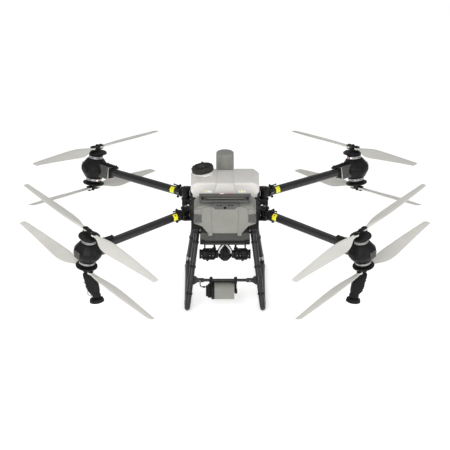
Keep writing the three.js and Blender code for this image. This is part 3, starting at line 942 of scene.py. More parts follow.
def collar(form, arm, off):
    """Three clamp rings, their side pads and the knob below."""
    aside = shift(0, off)
    form.hull(octagon(arm, 34, COLLAR_R) + octagon(arm, 52, COLLAR_R), 2.5, aside)
    form.hull(octagon(arm, 54, COLLAR_R - 1.5) + octagon(arm, 74, COLLAR_R - 1), 2.5, aside)
    form.hull(octagon(arm, 73, COLLAR_R - 2) + octagon(arm, 82, COLLAR_R - 4.5), 1.5, aside)
    for side in (-1, 1):
        pad = (side * (COLLAR_R - 3) + off, side * (COLLAR_R + 1.5) + off)
        form.block((38, 56), pad, (-9, 9), 1.5)
    knob = [(0, -46), (5, -46), (9, -43), (9, -37), (5, -34), (3, -33), (3, -28), (0, -28)]
    form.lathe(knob, 24, shift(70), bevel=0.4)


for arm in ARMS:
    off = arm.hand * COLLAR_OFF
    black = Form(arm.root)
    collar(black, arm, off)
    knuckle(black, off)
    tube_end = arm.length - SINK_L
    black.hull(octagon(arm, tube_end - 22, TUBE_R + 1.6) + octagon(arm, tube_end - 1, TUBE_R + 1.6), 1.2)
    black.finish(f"arm_collar_{arm.label}", arm.body, "black_moulding")

    bright = Form(arm.root)
    for side in (-1, 1):
        for x in (42, 52):
            bright.disc(3.4, (0, 2.2), 6, shift(x, side * 34.2 + off, 0) @ turn(-90 * side, "X"), 0.4)
        upright = turn(0 if side > 0 else 180, "X")
        bright.disc(5, (0, 2), 6, shift(44, 0, side * 31.6) @ upright, 0.5)
    bright.finish(f"arm_bolts_{arm.label}", arm.body, "machined_metal")
print("4 knuckles, their collars and bolts")

# %% [markdown]
# A yellow band tells the pilot where the arm folds, with a red dot on the two near arms. It could be
# painted in the tube's material, but a sticker has its own gloss and edge, so it is a pair of thin patches,
# half a millimetre proud, on the two flats that face the pilot.

# %% Fold markers
BAND_X, BAND_W, BAND_LIFT = 84, 34, 0.5
FLAT_R = TUBE_R * math.cos(math.radians(22.5))
FLAT_HALF = TUBE_R * math.sin(math.radians(22.5))


def facet_patch(form, arm, angle):
    """A thin patch on one flat of the tube."""
    here = shift(BAND_X, 0, -arm_drop(arm, BAND_X + BAND_W / 2)) @ turn(angle, "X")
    reach = FLAT_HALF + BAND_LIFT
    form.block((0, BAND_W), (-reach, reach), (FLAT_R - 1, FLAT_R + BAND_LIFT), 0.25, here)


def build_markers(arm):
    yellow = Form(arm.root)
    toward_pilot = 1 if (arm.root.to_3x3().inverted() @ Vector((0, -1, 0))).y < 0 else -1
    # The flats follow one another in steps of 45 degrees, from the top toward the pilot.
    for step in (1, 2):
        facet_patch(yellow, arm, 45 * step * toward_pilot)
    yellow.finish(f"fold_marker_{arm.label}", arm.body, "yellow_marker")
    if arm.near:
        red = Form(arm.root)
        dot_x = BAND_X + BAND_W / 2
        here = shift(dot_x, 0, -arm_drop(arm, dot_x)) @ turn(45 * toward_pilot, "X")
        top = FLAT_R + BAND_LIFT
        red.disc(6, (top - 1, top + 0.35), 24, here, 0.1)
        red.finish(f"fold_dot_{arm.label}", arm.body, "red_marker")


for arm in ARMS:
    build_markers(arm)
print("markers", round(2 * FLAT_HALF), "mm wide on each flat")

# %% [markdown]
# An over-centre latch on each knuckle keeps the arm from folding in flight. It has a joint of its own, so
# it can't be part of the collar: the lever grows about its hinge pin and rides on the latch's body, and
# then it swings up by itself when the joint turns.

# %% Latch levers


def build_latch(arm):
    lever = Form(arm.root @ shift(LATCH_X * MM, 0, 36 * MM))
    lever.ring((3.4, 5.5), (-12.6, 12.6), 24, turn(90, "X"), 0.3)
    tip = [(36, y, z) for y in (-5, 5) for z in (-1, 2)]
    root = [(2, y, z) for y in (-8, 8) for z in (-1.5, 2.5)]
    lever.hull(tip + root, 0.7)
    ball = [(0, -6), (3.6, -4.8), (5.6, -2), (5.6, 2), (3.6, 4.8), (0, 6)]
    lever.lathe(ball, 24, shift(38, 0, 1), bevel=0.8)
    lever.finish(f"latch_lever_{arm.label}", f"latch_{arm.label}", "black_moulding", f"latch_{arm.label}")


for arm in ARMS:
    build_latch(arm)
print("4 latches")

# %% [markdown]
# Under each near pod hangs a centrifugal sprayer. A stem comes down through the hollow shaft, an elbow
# leans the motor body inward so the spray clears the skids, and a ribbed disc at the foot throws the
# droplets. The lean could be typed in as an angle, but the disc's joint already says where it is and which
# way it points, so the body is built between the two.

# %% Sprayer stem and motor


def build_stem(arm):
    stem = Form(arm.pod)
    neck = [(0, -174), (11.4, -174), (11.4, -128), (15, -126), (15, -116), (11.4, -114), (11.4, -95.4),
            (0, -95.4)]
    stem.lathe(neck, 32)
    stem.lathe([(0, -186), (14, -184), (19, -176), (19, -166), (15, -160), (0, -158)], 32)
    stem.block((-24, -10), (-8, 8), (-158, -132), 2)
    stem.finish(f"spray_stem_{arm.label}", arm.body, "black_moulding", f"sprayer_{arm.label}")


def build_spray_motor(arm, lean):
    """Two plates of the motor's case, one inside the other, with ribs on the long sides."""
    motor = Form(lean)
    side = [(-17, 4), (12, 6), (22, -18), (36, -44), (44, -84), (42, -100), (30, -138), (-24, -138),
            (-32, -104), (-31, -64), (-22, -30)]
    motor.prism(side, (-23, 23), 3, turn(90, "X"))
    inner = [(-13, -2), (9, -2), (18, -26), (30, -50), (37, -86), (26, -128), (-19, -128), (-26, -100),
             (-25, -66)]
    motor.prism(inner, (-28, 28), 2, turn(90, "X"))
    for k in range(4):
        motor.block((-35, -28), (-17, 17), (-72 - 11 * k, -66 - 11 * k), 1)
        motor.block((34, 45 - k), (-15, 15), (-66 - 11 * k, -60 - 11 * k), 1)
    motor.disc(5, (0, 3), 6, shift(6, -27, -92) @ turn(90, "X"), 0.6)
    motor.finish(f"spray_motor_{arm.label}", arm.body, "black_moulding")


def build_spray_hose(arm, lean):
    hose = Form(lean)
    path = [(-28, -16, -96), (-40, -20, -104), (-41, -23, -118), (-33, -25, -130), (-22, -22, -140)]
    hose.tube(path, 5, 14)
    hose.block((-34, -24), (-20, -8), (-42, -34), 1.5)
    hose.finish(f"spray_hose_{arm.label}", arm.body, "hose_rubber")


def sprayer_places(arm):
    """The knee under the hub and the ankle at the disc, as two places."""
    spin = JOINTS[f"atomiser_spin_{arm.label}"]
    knee, ankle = arm.pod @ Vector((0, 0, -0.172)), Vector(spin["pos_m"])
    axis = Vector(spin["axis"])
    inward = Vector((1 if arm.left else -1, 0, 0))
    return basis(knee, inward, knee - ankle), basis(ankle, inward, axis if axis.z > 0 else -axis)


SPRAYERS = {arm: sprayer_places(arm) for arm in ARMS if arm.near}
for arm, (lean, foot) in SPRAYERS.items():
    build_stem(arm)
    build_spray_motor(arm, lean)
    build_spray_hose(arm, lean)
print(len(SPRAYERS), "sprayer bodies")

# %% [markdown]
# The disc spins thousands of times a minute and its grooved rim breaks the liquid into drops. The grooves
# could be cut one by one; here the turned outline gets a wave that lifts its radius a little at regular
# angles, which makes all of them at once. A fixed collar hides the bearing above it.

# %% Spray discs


def grooved(angle, height):
    return 1 + (0.012 if math.cos(36 * angle) > 0 and height < -34 else 0)


for arm, (lean, foot) in SPRAYERS.items():
    cover = Form(foot)
    cover.lathe([(0, -27), (26, -27), (31, -22), (31, -10), (27, -2), (27, 12), (18, 20), (0, 22)], 36)
    cover.disc(5.9, (-44, -24), 20)
    cover.finish(f"spray_collar_{arm.label}", arm.body, "black_moulding")

    disc = Form(foot)
    outline = [(6.4, -28), (16, -28), (34, -32), (42, -36), (46, -50), (46.5, -54), (43, -56), (36, -53),
               (10, -50), (6.4, -50), (6.4, -28)]
    disc.lathe(outline, 72, bevel=0.4, wave=grooved)
    label = f"atomiser_{arm.label}"
    disc.finish(f"spray_disc_{arm.label}", label, "black_moulding", label)
print("spray discs")

# %% [markdown]
# The liquid tank is one blow moulding: two wide lobes with chamfered shoulders and a shallow channel
# between them that flares at its foot. It could be one box with a groove cut in it, but cuts leave the hard
# edges that melted plastic can't form. Each lobe is a convex form of its own with a generous edge radius,
# and a lower middle piece closes the channel.

# %% Tank
TANK_W, TANK_Y0, TANK_Y1 = 218, -62, 238


def tank_lobe(side):
    """Corners of one lobe, from the shoulder down to where it meets the waist."""
    w, y0, y1 = TANK_W, TANK_Y0, TANK_Y1
    outer = [
        (w - 36, y0 + 6, 752), (w - 36, y1 - 6, 734), (w - 14, y0, 740), (w, y0 + 36, 726), (w, y1 - 22, 712),
        (w, y0 + 36, 678), (w, y1 - 22, 678), (w - 14, y0, 682), (w - 24, y1, 718), (w - 24, y1, 684),
        (w - 36, y0 + 6, 640), (w - 36, y1 - 4, 640),
    ]
    channel = [
        (62, y0 + 6, 752), (62, y1 - 6, 734), (64, y0, 741), (66, y0, 706), (88, y0, 683), (44, y0 + 20, 738),
        (44, y1 - 12, 722), (46, y0 + 20, 700), (62, y1, 718), (50, y1, 684), (72, y0 + 6, 640),
        (50, y1 - 4, 640),
    ]
    return [(side * x, y, z) for x, y, z in outer + channel]


def build_tank():
    w, y0, y1 = TANK_W, TANK_Y0, TANK_Y1
    tank = Form(BODY)
    for side in (-1, 1):
        tank.hull(tank_lobe(side), 4.5, segments=3)
    middle = [(y0 + 13, 736), (y0 + 18, 743), (y1 - 8, 725), (y1 - 3, 714), (y0 + 13, 714), (y0 + 1, 690),
              (y0 + 1, 684), (y0 + 8, 640), (y1 - 6, 640)]
    tank.hull([(x, y, z) for x in (-76, 76) for y, z in middle], 4, segments=3)
    levels = ((150, 556), (w - 36, 600), (w - 36, 645))
    tank.hull([(s * x, y, z) for x, z in levels for y in (y0 + 8, y1 - 8) for s in (-1, 1)], 6, segments=3)
    tank.block((-150, 150), (y0 + 12, y1 - 12), (430, 600), 12)
    for side in (-1, 1):
        tank.block(span(side, 170, 205), (4, 176), (626, 652), 4)
    tank.finish("tank_lobes", "airframe", "tank_plastic", "tank_shell")


build_tank()
print("tank", 2 * TANK_W, "by", TANK_Y1 - TANK_Y0, "mm")

# %% [markdown]
# The filler neck leans out on one side so that a can reaches it. The cap is a broad black disc with a
# scalloped grip rim, radial ribs on top and a small lifting tab. The scallops could be fourteen cuts, but
# the rim follows a cosine of the angle, which rounds every one of them. The ribs are wedges that meet a
# raised ring.

# %% Filler neck and cap
NECK = BODY @ Matrix.Scale(MM, 4) @ shift(-140, 125, 752) @ turn(-8, "Y") @ Matrix.Scale(1 / MM, 4)
RIBS = 10


def scalloped(angle, height):
    return 1 + (0.022 * math.cos(14 * angle) if height > 12 else 0)


def build_neck():
    neck = Form(NECK)
    spout = [(50, -40), (66, -40), (62, -8), (60, -2), (60, 8), (57.5, 10), (57.5, 27), (50, 27), (50, -40)]
    neck.lathe(spout, 72, bevel=1)
    neck.finish("tank_neck", "airframe", "tank_plastic")
    collar = Form(NECK)
    collar.ring((58.5, 70.5), (4, 7.5), 96, bevel=0.6)
    collar.finish("cap_lanyard_ring", "airframe", "tank_plastic")


def build_cap():
    cap = Form(NECK)
    rim = [(58.4, 10), (68, 10), (69.5, 14), (69.5, 34), (66, 39.5), (61, 41), (57, 39), (55, 36), (0, 36),
           (0, 28.4), (58.4, 28.4)]
    cap.lathe(rim, 168, bevel=0.5, wave=scalloped)
    cap.lathe([(0, 35), (22, 35), (22, 40.5), (19, 42), (0, 42)])
    for k in range(RIBS):
        inner = [(20, y, z) for y in (-4.5, 4.5) for z in (35, 41.5)]
        outer = [(57, y, z) for y in (-2, 2) for z in (35, 40.5)]
        cap.hull(inner + outer, 0.9, turn(360 / RIBS * k, "Z"))
    tab = [(x, y, z) for x in (-7, 7) for y in (60, 71) for z in (34, 41)] + [(x, 69, 46) for x in (-4, 4)]
    cap.hull(tab, 1.2)
    cap.finish("filler_cap", "cap", "cap_moulding", "tank_cap")


build_neck()
build_cap()
print("filler cap with", RIBS, "ribs")

# %% [markdown]
# Behind the tank a radar stands in a plain tower: a tall moulded cup with a soft rim and one parting line
# below its lid. The line could be a dark stripe in the material, but a stripe doesn't catch light, so it is
# a real groove in the turned outline, about a millimetre deep.

# %% Radar tower
tower = Form(BODY @ Matrix.Translation((0, 0.312, 0)))
foot = [(0, 559.5), (66, 559.5), (66, 566), (59, 568), (58, 600), (57, 782)]
groove = [(55.8, 783.2), (55.8, 785), (57, 786.2)]
lid = [(56.2, 808), (55, 812.4), (52, 814.8), (48, 815.4), (0, 815.4)]
tower.lathe(foot + groove + lid, 96, bevel=0)
tower.finish("tower_shell", "airframe", "housing_moulding", "radar_tower")
print("tower up to", lid[-1][1], "mm")

# %% [markdown]
# The battery is a heavy drop-in case. Its pilot side has a raised panel between two pressed ridges and
# narrows to two feet. A single box with drawn lines would look flat here, because the camera meets this
# side straight on. So the case is two hulls, and the panel, ridges and feet are forms laid on them, each
# with the edge radius of its own pressing.

# %% Battery case
BATTERY_Y0, BATTERY_Y1, BATTERY_W = -300, -96, 196
UPRIGHT = shift(0, BATTERY_Y0 + 10, 0) @ turn(90, "X")


def both(points):
    """The points and their mirror images."""
    return [(s * x, y, z) for x, y, z in points for s in (-1, 1)]


def case_body(form):
    y0, y1, w = BATTERY_Y0, BATTERY_Y1, BATTERY_W
    keel = [(x, y, z) for x, z in ((107, 501), (147, 550), (147, 590)) for y in (y0 + 8, y1)]
    form.hull(both(keel), 4)
    near_side = [(147, y0 + 6, 550), (w, y0 + 18, 564), (w, y0 + 18, 655), (168, y0 + 12, 682)]
    top = [(168, -232, 699), (168, -148, 699), (168, y1, 668)]
    far_side = [(w, -148, 672), (w, y1, 652), (w, y1, 564), (147, y1, 550)]
    form.hull(both(near_side + top + far_side), 6, segments=3)


def case_panel(form):
    """The raised panel on the pilot's side, the plate on it and the small blank block in its middle."""
    panel = [(140, 582), (152, 596), (146, 640), (138, 676), (104, 684), (-104, 684), (-138, 676),
             (-146, 640), (-152, 596), (-140, 582), (-104, 506), (104, 506)]
    form.prism(panel, (-6, 7), 3.5, UPRIGHT)
    form.prism([(86, 676), (-86, 676), (-78, 512), (78, 512)], (4, 9.9), 1.6, UPRIGHT)
    form.block((-18, 18), (BATTERY_Y0 - 0.2, BATTERY_Y0 + 4), (588, 612), 1.2)


def case_ridges(form, s):
    """On one side: the long ridge, the foot and the two corner ridges."""
    y0 = BATTERY_Y0
    long_ridge = ((88, 681), (98, 681), (82, 508), (92, 508))
    form.hull([(s * x, y0 + 10 - d, z) for d in (-3, 9) for x, z in long_ridge], 1.6)
    form.hull([(s * x, y, z) for x in (79, 105) for y in (y0 + 2, y0 + 30) for z in (488, 508)], 2)
    upper = ((150, 660), (186, 640), (158, 676), (189, 652))
    form.hull([(s * x, y0 + d, z) for d in (4, 12) for x, z in upper], 2)
    lower = ((154, 560), (193, 570), (154, 568), (193, 574))
    form.hull([(s * x, y0 + d, z) for d in (6, 16) for x, z in lower], 1.5)


case = Form(BODY)
case_body(case)
case_panel(case)
for s in (-1, 1):
    case_ridges(case, s)
case.finish("battery_shell", "battery", "battery_moulding", "battery_case")
print("battery case", 2 * BATTERY_W, "mm wide")

# %% [markdown]
# Dark grip pads wrap the corners, and above them a handle of two bars between end blocks leaves a slot for
# the fingers. The pads could be a darker patch of the same shell, but a hand feels them as rubber with
# ribs. They are hulls that stand a little proud, with three ribs on each.

# %% Grips and handle


def grip_pad(form, s):
    y0 = BATTERY_Y0
    wrap = ((146, 2), (188, 6), (197.5, 16), (197.5, 66), (150, 20))
    form.hull([(s * x, y0 + d, z) for x, d in wrap for z in (577, 629)], 3)
    rib = ((150, -0.2), (188, 4), (150, 8), (188, 12))
    for z in (590, 603, 616):
        form.hull([(s * x, y0 + d, z + h) for x, d in rib for h in (-2, 2)], 0.8)


def handle(form):
    """The recess below the handle, its two bars and the blocks between them."""
    form.prism([(92, 700), (-92, 700), (-62, 668), (62, 668)], (5, 10.5), 2, UPRIGHT)
    form.block((-88, 88), (-292, -248), (690, 702), 3)
    form.block((-34, 34), (BATTERY_Y0 - 2, BATTERY_Y0 + 10), (672, 690), 2)
    form.block((-148, 148), (-272, -256), (702, 716), 3.5)
    form.hull([(x, y, z) for x in (-162, 162) for y in (-225, -191) for z in (717, 733.5)], 3, segments=3)
    for s in (-1, 1):
        form.block(span(s, 124, 163), (-262, -180), (697, 716), 4)
        form.block(span(s, 150, 163), (-268, -190), (705, 733), 3)


dark = Form(BODY)
for s in (-1, 1):
    grip_pad(dark, s)
handle(dark)
dark.finish("battery_grip", "battery", "handle_moulding", "battery_handle")
print("grips and handle")

# %% [markdown]
# A round button and four small lamp windows sit in the recess, and a strip of charge lamps lies behind the
# handle. They could share one piece, but each lamp has its own colour, and one piece takes one finish here,
# so a short table says where each strip starts, where it ends and what it is made of.

# %% Buttons and charge lamps
CHARGE_LAMPS = (
    ("red_a", -50, -38, "red_marker"), ("white", -32, -8, "glowing_white_marker"),
    ("lens", -4, 16, "machined_metal"), ("red_b", 22, 44, "red_marker"),
)

black = Form(BODY)
# painted shade: a black slab lies in the slot between the handle's bars, where the slot is in shadow
black.block((-146, 146), (-256, -226), (700, 709), 1)
for x in (-46, -26, 26, 46):
    black.block((x - 7, x + 7), (BATTERY_Y0 - 2.4, BATTERY_Y0 + 4), (692, 698), 0.8)
button = [(0, 0), (9, 0), (9, 3.4), (7, 4.4), (0, 4.4)]
black.lathe(button, 32, shift(0, BATTERY_Y0 - 1.6, 681) @ turn(90, "X"))
# black strips at the slot's ends, on the end blocks: painted shade too
for s in (-1, 1):
    black.block(span(s, 136, 158), (-252, -232), (716, 720), 1)
black.finish("battery_button_and_slot_shade", "battery", "black_moulding")

for name, x0, x1, finish in CHARGE_LAMPS:
    strip = Form(BODY)
    strip.block((x0, x1), (-200, -193), (732, 735.5), 0.8)
    strip.finish(f"charge_lamp_{name}", "battery", finish)
print("button and", len(CHARGE_LAMPS), "charge lamps")

# %% [markdown]
# The stickers on the tank are left blank: a white patch with small yellow ones on it. They could be painted
# in the tank's material with a mask, but a mask has to be aimed, and vinyl has a thickness. They are thin
# blocks, a fraction of a millimetre proud.

# %% Blank labels
PATCHES = {"left": ((110, 124),), "right": ((92, 102), (112, 122))}
for s, label in ((-1, "left"), (1, "right")):
    paper = Form(BODY)
    paper.block(span(s, 84, 130), (-62.6, -61), (686, 699), 0.2)
    # the white label paper glows faintly: painted light
    paper.finish(f"label_{label}", "airframe", "glowing_white_marker")
    patch = Form(BODY)
    for near, far in PATCHES[label]:
        patch.block(span(s, near, far), (-62.9, -61.5), (689, 696), 0.2)
    patch.finish(f"label_band_{label}", "airframe", "yellow_marker")
print("labels", *PATCHES)

# %% [markdown]
# Below the battery a dark tray closes the frame and carries the pumps. Its wall has upright ribs, which
# could come from a bump, but ribs this size show in the outline, so a loop lays fifteen thin blocks on the
# wall. A black rim with corner blocks goes round the foot.

# %% Tray
TRAY_RIBS, RIB_PITCH = 15, 20


def build_tray():
    tray = Form(BODY)
    tray.block((-153, 153), (-278, -67), (440, 499), 4)
    for k in range(TRAY_RIBS):
        x = RIB_PITCH * (k - TRAY_RIBS // 2)
        tray.block((x - 2.2, x + 2.2), (-280, -270), (452, 494), 1)
    tray.block((-126, 126), (-270, -150), (412, 432), 4)
    tray.finish("tray_shell", "airframe", "tray_moulding", "battery_bay")
    rim = Form(BODY)
    rim.block((-157, 157), (-282, -67), (427, 446), 2.5)
    for s in (-1, 1):
        rim.block(span(s, 128, 158), (-283, -240), (421, 452), 2.5)
        rim.block(span(s, 147, 157), (-276, -70), (446, 498), 2)
    rim.finish("tray_rim", "airframe", "black_moulding")


build_tray()
print("tray with", TRAY_RIBS, "ribs")

# %% [markdown]
# The pump is a block of three castings: a ribbed head in the middle and one barrel on each side, hung from
# the tray on four hangers. Each is round about its own axis, so turned outlines give all three; eight sides
# make the barrels look cast, and a wave on the head's outline raises its ribs.

# %% Pump head
PUMP = BODY @ Matrix.Translation((0, -0.221, 0))
PUMP_Z = 331


def lobed(angle, height):
    return 1 + 0.1 * math.cos(8 * angle)


def build_pump_head():
    core = Form(PUMP)
    core.block((-150, 150), (-40, 40), (412, 420), 2)
    casting = [(0, 302), (30, 302), (38, 312), (40, 330), (36, 334), (41, 340), (41, 366), (35, 372),
               (32, 384), (24, 390), (24, 411), (0, 411)]
    core.lathe(casting, 96, wave=lobed, bevel=0.5)
    core.lathe([(0, 289), (18, 289), (24, 294), (30, 300), (30, 306), (0, 306)], 8, bevel=1.2)
    for x in (-128, -66, 66, 128):
        core.block((x - 4.5, x + 4.5), (-10, 10), (365, 412), 1.5)
        core.disc(6, (0, 4), 6, shift(x, -10, 396) @ turn(90, "X"), 0.6)
    for s in (-1, 1):
        core.disc(12, (20, 41.5), 20, shift(0, 0, PUMP_Z) @ turn(90 * s, "Y"))
    core.finish("pump_head", "airframe", "black_moulding", "pump_core")


build_pump_head()
print("pump head at", PUMP_Z, "mm")

# %% [markdown]
# The barrels are alike but face opposite ways. Mirroring a mesh would turn its faces inside out, so one
# function builds each barrel along its own axis, with the place turned a quarter to the left or right.

# %% Pump barrels


def build_barrel(s, label):
    pump = Form(PUMP @ Matrix.Translation((0, 0, PUMP_Z * MM)) @ turn(90 * s, "Y"))
    barrel = [(0, 43), (26, 43), (28, 46), (28, 58), (34, 62), (36, 66), (36, 84), (30, 90), (30, 102),
              (36, 108), (36, 140), (30, 146), (30, 152), (34, 155), (34, 160), (28, 163), (0, 163)]
    pump.lathe(barrel, 8, turn(22.5, "Z"), bevel=1.6)
    rib = [(x, y, z) for x in (28, 37.5) for y in (-2, 2) for z in (68, 138)]
    for k in range(8):
        pump.hull(rib, 0.8, turn(45 * k + 22.5, "Z"))
    pump.finish(f"pump_body_{label}", "airframe", "black_moulding", f"pump_{label}")


def build_barrel_fittings(s, label):
    """The drain below, the tab above and the bright screws in front."""
    tabs = Form(BODY)
    drain = [(s * x, y, z) for x in (104, 116) for y in (-227, -215) for z in (284, 302)]
    tabs.hull(drain + [(s * 120, -221, 282)], 1.5)
    tabs.hull([(s * x, y, z) for x in (70, 80) for y in (-246, -200) for z in (360, 372)], 1.5)
    tabs.finish(f"pump_tabs_{label}", "airframe", "black_moulding")
    bright = Form(BODY)
    for x in (76, 96, 148):
        bright.disc(3.2, (0, 2.4), 6, shift(s * x, -256, 334) @ turn(90, "X"), 0.4)
    bright.finish(f"pump_screws_{label}", "airframe", "machined_metal")


for s, label in ((-1, "left"), (1, "right")):
    build_barrel(s, label)
    build_barrel_fittings(s, label)
print("2 pump barrels")

# %% [markdown]
# Two pale hoses arch down from the tray to the pump head, and two black ones feed the barrels from behind.
# A curve object could carry them, but it would have to be made into a mesh before the export. The same
# thing is done by hand: a few points, a smooth path through them, and a ring of points at each step.

# %% Hoses
OUTLET = [(6, -243, 418), (8, -262, 412), (20, -276, 404), (33, -277, 386), (38, -266, 366), (36, -250, 352)]
FEED = [(60, -210, 356), (74, -196, 392), (104, -172, 408), (130, -120, 420)]

for s, label in ((-1, "left"), (1, "right")):
    hose = Form(BODY)
    hose.tube([(s * x, y, z) for x, y, z in OUTLET], 5.5, 20)
    hose.finish(f"outlet_hose_{label}", "airframe", "hose_rubber")
    feed = Form(BODY)
    feed.tube([(s * x, y, z) for x, y, z in FEED], 6, 16)
    feed.finish(f"feed_hose_{label}", "airframe", "rubber")
outlet_length = sum(math.dist(a, b) for a, b in zip(OUTLET, OUTLET[1:]))
print("outlet hoses", round(outlet_length), "mm long")

# %% [markdown]
# The landing frame is two bent tubes, one on each side. A tube with sharp corners would look welded, so
# each corner is a short curve between its two straight runs, and a tube of one radius follows the path.

# %% Landing tubes
LEG_R, LEG_TOP, SKID_X = 18, 500, 240
NEAR_TOP, NEAR_FOOT = Vector((175, -200, LEG_TOP)), Vector((SKID_X, -395, LEG_R + 2))
FAR_TOP, FAR_FOOT = Vector((175, 180, LEG_TOP)), Vector((SKID_X, 365, LEG_R + 2))
TOP_GAP = 0.004  # the share of a leg left out at its top


def bend(before, corner, after, reach=50, steps=10):
    """Points round a tube's corner."""
    start = corner + (before - corner).normalized() * reach
    end = corner + (after - corner).normalized() * reach
    share = [i / steps for i in range(steps + 1)]
    return [start * (1 - t) ** 2 + corner * 2 * t * (1 - t) + end * t * t for t in share]


def skid_path(s):
    """From the near leg's top, round both feet, to the far leg's top."""
    corners = bend(NEAR_TOP, NEAR_FOOT, FAR_FOOT) + bend(NEAR_FOOT, FAR_FOOT, FAR_TOP)
    path = [NEAR_TOP.lerp(NEAR_FOOT, TOP_GAP), *corners, FAR_TOP.lerp(FAR_FOOT, TOP_GAP)]
    return [Vector((s * p.x, p.y, p.z)) for p in path]


for s, label in ((-1, "left"), (1, "right")):
    tube = Form(BODY)
    tube.tube(skid_path(s), LEG_R, 32, steps=1)
    tube.finish(f"skid_tube_{label}", "airframe", "carbon_tube", f"skid_{label}")
print("2 landing tubes,", FAR_FOOT.y - NEAR_FOOT.y, "mm long on the ground")

# %% [markdown]
# Rubber collars and soles and one bright clamp go on each tube. They have to lie along legs that lean two
# ways at once. Angles for that are hard to guess, so a helper gives the place at any share of a leg's
# length, with its Z along the tube, and every collar is turned there.

# %% Collars, soles and clamps
NEAR_COLLARS, FAR_COLLARS, CLAMP = (0.05, 0.17, 0.47, 0.80), (0.05, 0.2, 0.55), 0.9


def along(a, b, t, s):
    """A place on one leg, with Z along the tube."""
    point, way = a.lerp(b, t), b - a
    place, run = Vector((s * point.x, point.y, point.z)), Vector((s * way.x, way.y, way.z))
    return basis(place, Vector((s, 0, 0)), run)


def build_rubber(s, label):
    rubber = Form(BODY)
    collar = [(17, -8), (20.5, -8), (21.5, -4), (21.5, 4), (20.5, 8), (17, 8), (17, -8)]
    for t in NEAR_COLLARS:
        rubber.lathe(collar, 40, along(NEAR_TOP, NEAR_FOOT, t, s), bevel=0.6)
    for t in FAR_COLLARS:
        rubber.lathe(collar, 40, along(FAR_TOP, FAR_FOOT, t, s), bevel=0.6)
    x = s * SKID_X
    for y in (NEAR_FOOT.y + 110, FAR_FOOT.y - 110):
        sole = [(x + a, y + b, z) for a in (-14, 14) for b in (-45, 45) for z in (0, 10)]
        saddle = [(x + a, y + b, 26) for a in (-19, 19) for b in (-34, 34)]
        rubber.hull(sole + saddle, 2)
    rubber.finish(f"skid_collars_{label}", "airframe", "rubber")


def build_clamp(s, label):
    bright = Form(BODY)
    here = along(FAR_TOP, FAR_FOOT, CLAMP, s)
    bright.ring((18, 20.6), (-16, 16), 40, here, 0.6)
    bright.block((-27, -18), (-6, 6), (-12, 12), 1, here)
    bright.block(span(s, 236, 262), (300, 326), (14, 26), 2)
    bright.finish(f"skid_clamp_{label}", "airframe", "machined_metal")


for s, label in ((-1, "left"), (1, "right")):
    build_rubber(s, label)
    build_clamp(s, label)
print(len(NEAR_COLLARS) + len(FAR_COLLARS), "collars on each tube")

# %% [markdown]
# A crossbar joins the near legs. Its height is chosen and its depth follows, because it has to meet two
# leaning legs: the point at that height on a leg is worked out from the leg's two ends.

# %% Crossbar
BAR_Z = 195
BAR = NEAR_TOP.lerp(NEAR_FOOT, (LEG_TOP - BAR_Z) / (LEG_TOP - LEG_R - 2))
BAR_PLACE = shift(0, BAR.y, BAR_Z) @ turn(90, "Y")


def build_crossbar():
    bar = Form(BODY)
    reach = BAR.x - LEG_R - 1.5
    bar.disc(9.5, (-reach, reach), 32, BAR_PLACE, 0)
    sleeve = [(9, -26), (13, -26), (14, -22), (14, 22), (13, 26), (9, 26), (9, -26)]
    gusset = ((reach + 3.5, -32), (reach - 4.5, 32), (166, -9), (166, 9))
    for s in (-1, 1):
        bar.hull([(s * x, BAR.y + d, BAR_Z + z) for d in (-6, 6) for x, z in gusset], 2)
        bar.lathe(sleeve, 32, BAR_PLACE @ shift(0, 0, s * 160))
        bar.ring((17, 21.5), (-26, 26), 40, along(NEAR_TOP, NEAR_FOOT, 0.635, s))
    bar.finish("crossbar_tube", "airframe", "carbon_tube", "crossbar")
    bright = Form(BODY)
    for s in (-1, 1):
        bright.disc(4.2, (0, 2.6), 6, shift(s * 158, BAR.y - 13.4, BAR_Z) @ turn(90, "X"), 0.4)
        bright.disc(3.2, (0, 2.4), 6, shift(s * 184, BAR.y - 6, BAR_Z) @ turn(90, "X"), 0.4)
    bright.finish("bar_bolts", "airframe", "machined_metal")


build_crossbar()
print("crossbar", round(-BAR.y), "mm ahead of the middle")

# %% [markdown]
# The bar carries the terrain radar: a drum lying on its side, an end plate with a plug block, two clamps up
# to the bar, and a short cable back to it. The drum is a turned form again, and the bracket is a set of
# blocks, because the real one is a casting with flat faces.

# %% Radar drum
DRUM_Z, DRUM_R, DRUM_Y = 117, 55, BAR.y + 12
DRUM_PLACE = shift(0, DRUM_Y, DRUM_Z) @ turn(90, "Y")


def bracket_blocks(form):
    """The plug block with its two sockets, the far arm of the bracket and the bridge over the drum."""
    form.block((-110, -86), (DRUM_Y - 30, DRUM_Y + 30), (DRUM_Z - 38, DRUM_Z + 38), 5)
    form.block((-121, -104), (DRUM_Y - 24, DRUM_Y + 22), (DRUM_Z - 30, DRUM_Z - 4), 3)
    form.block((-121, -104), (DRUM_Y - 24, DRUM_Y + 22), (DRUM_Z + 2, DRUM_Z + 30), 3)
    form.block((59.3, 74), (DRUM_Y - 22, DRUM_Y + 22), (DRUM_Z - 6, BAR_Z - 6), 3)
    form.block((62, 78), (DRUM_Y - 26, DRUM_Y - 6), (DRUM_Z - 10, DRUM_Z + 18), 2)
    form.block((-98, 75), (DRUM_Y + 4, DRUM_Y + 22), (DRUM_Z + DRUM_R + 1, BAR_Z - 10), 2)
    form.block((-100, -74), (DRUM_Y - 12, DRUM_Y + 12), (DRUM_Z + 30, BAR_Z - 4), 2)


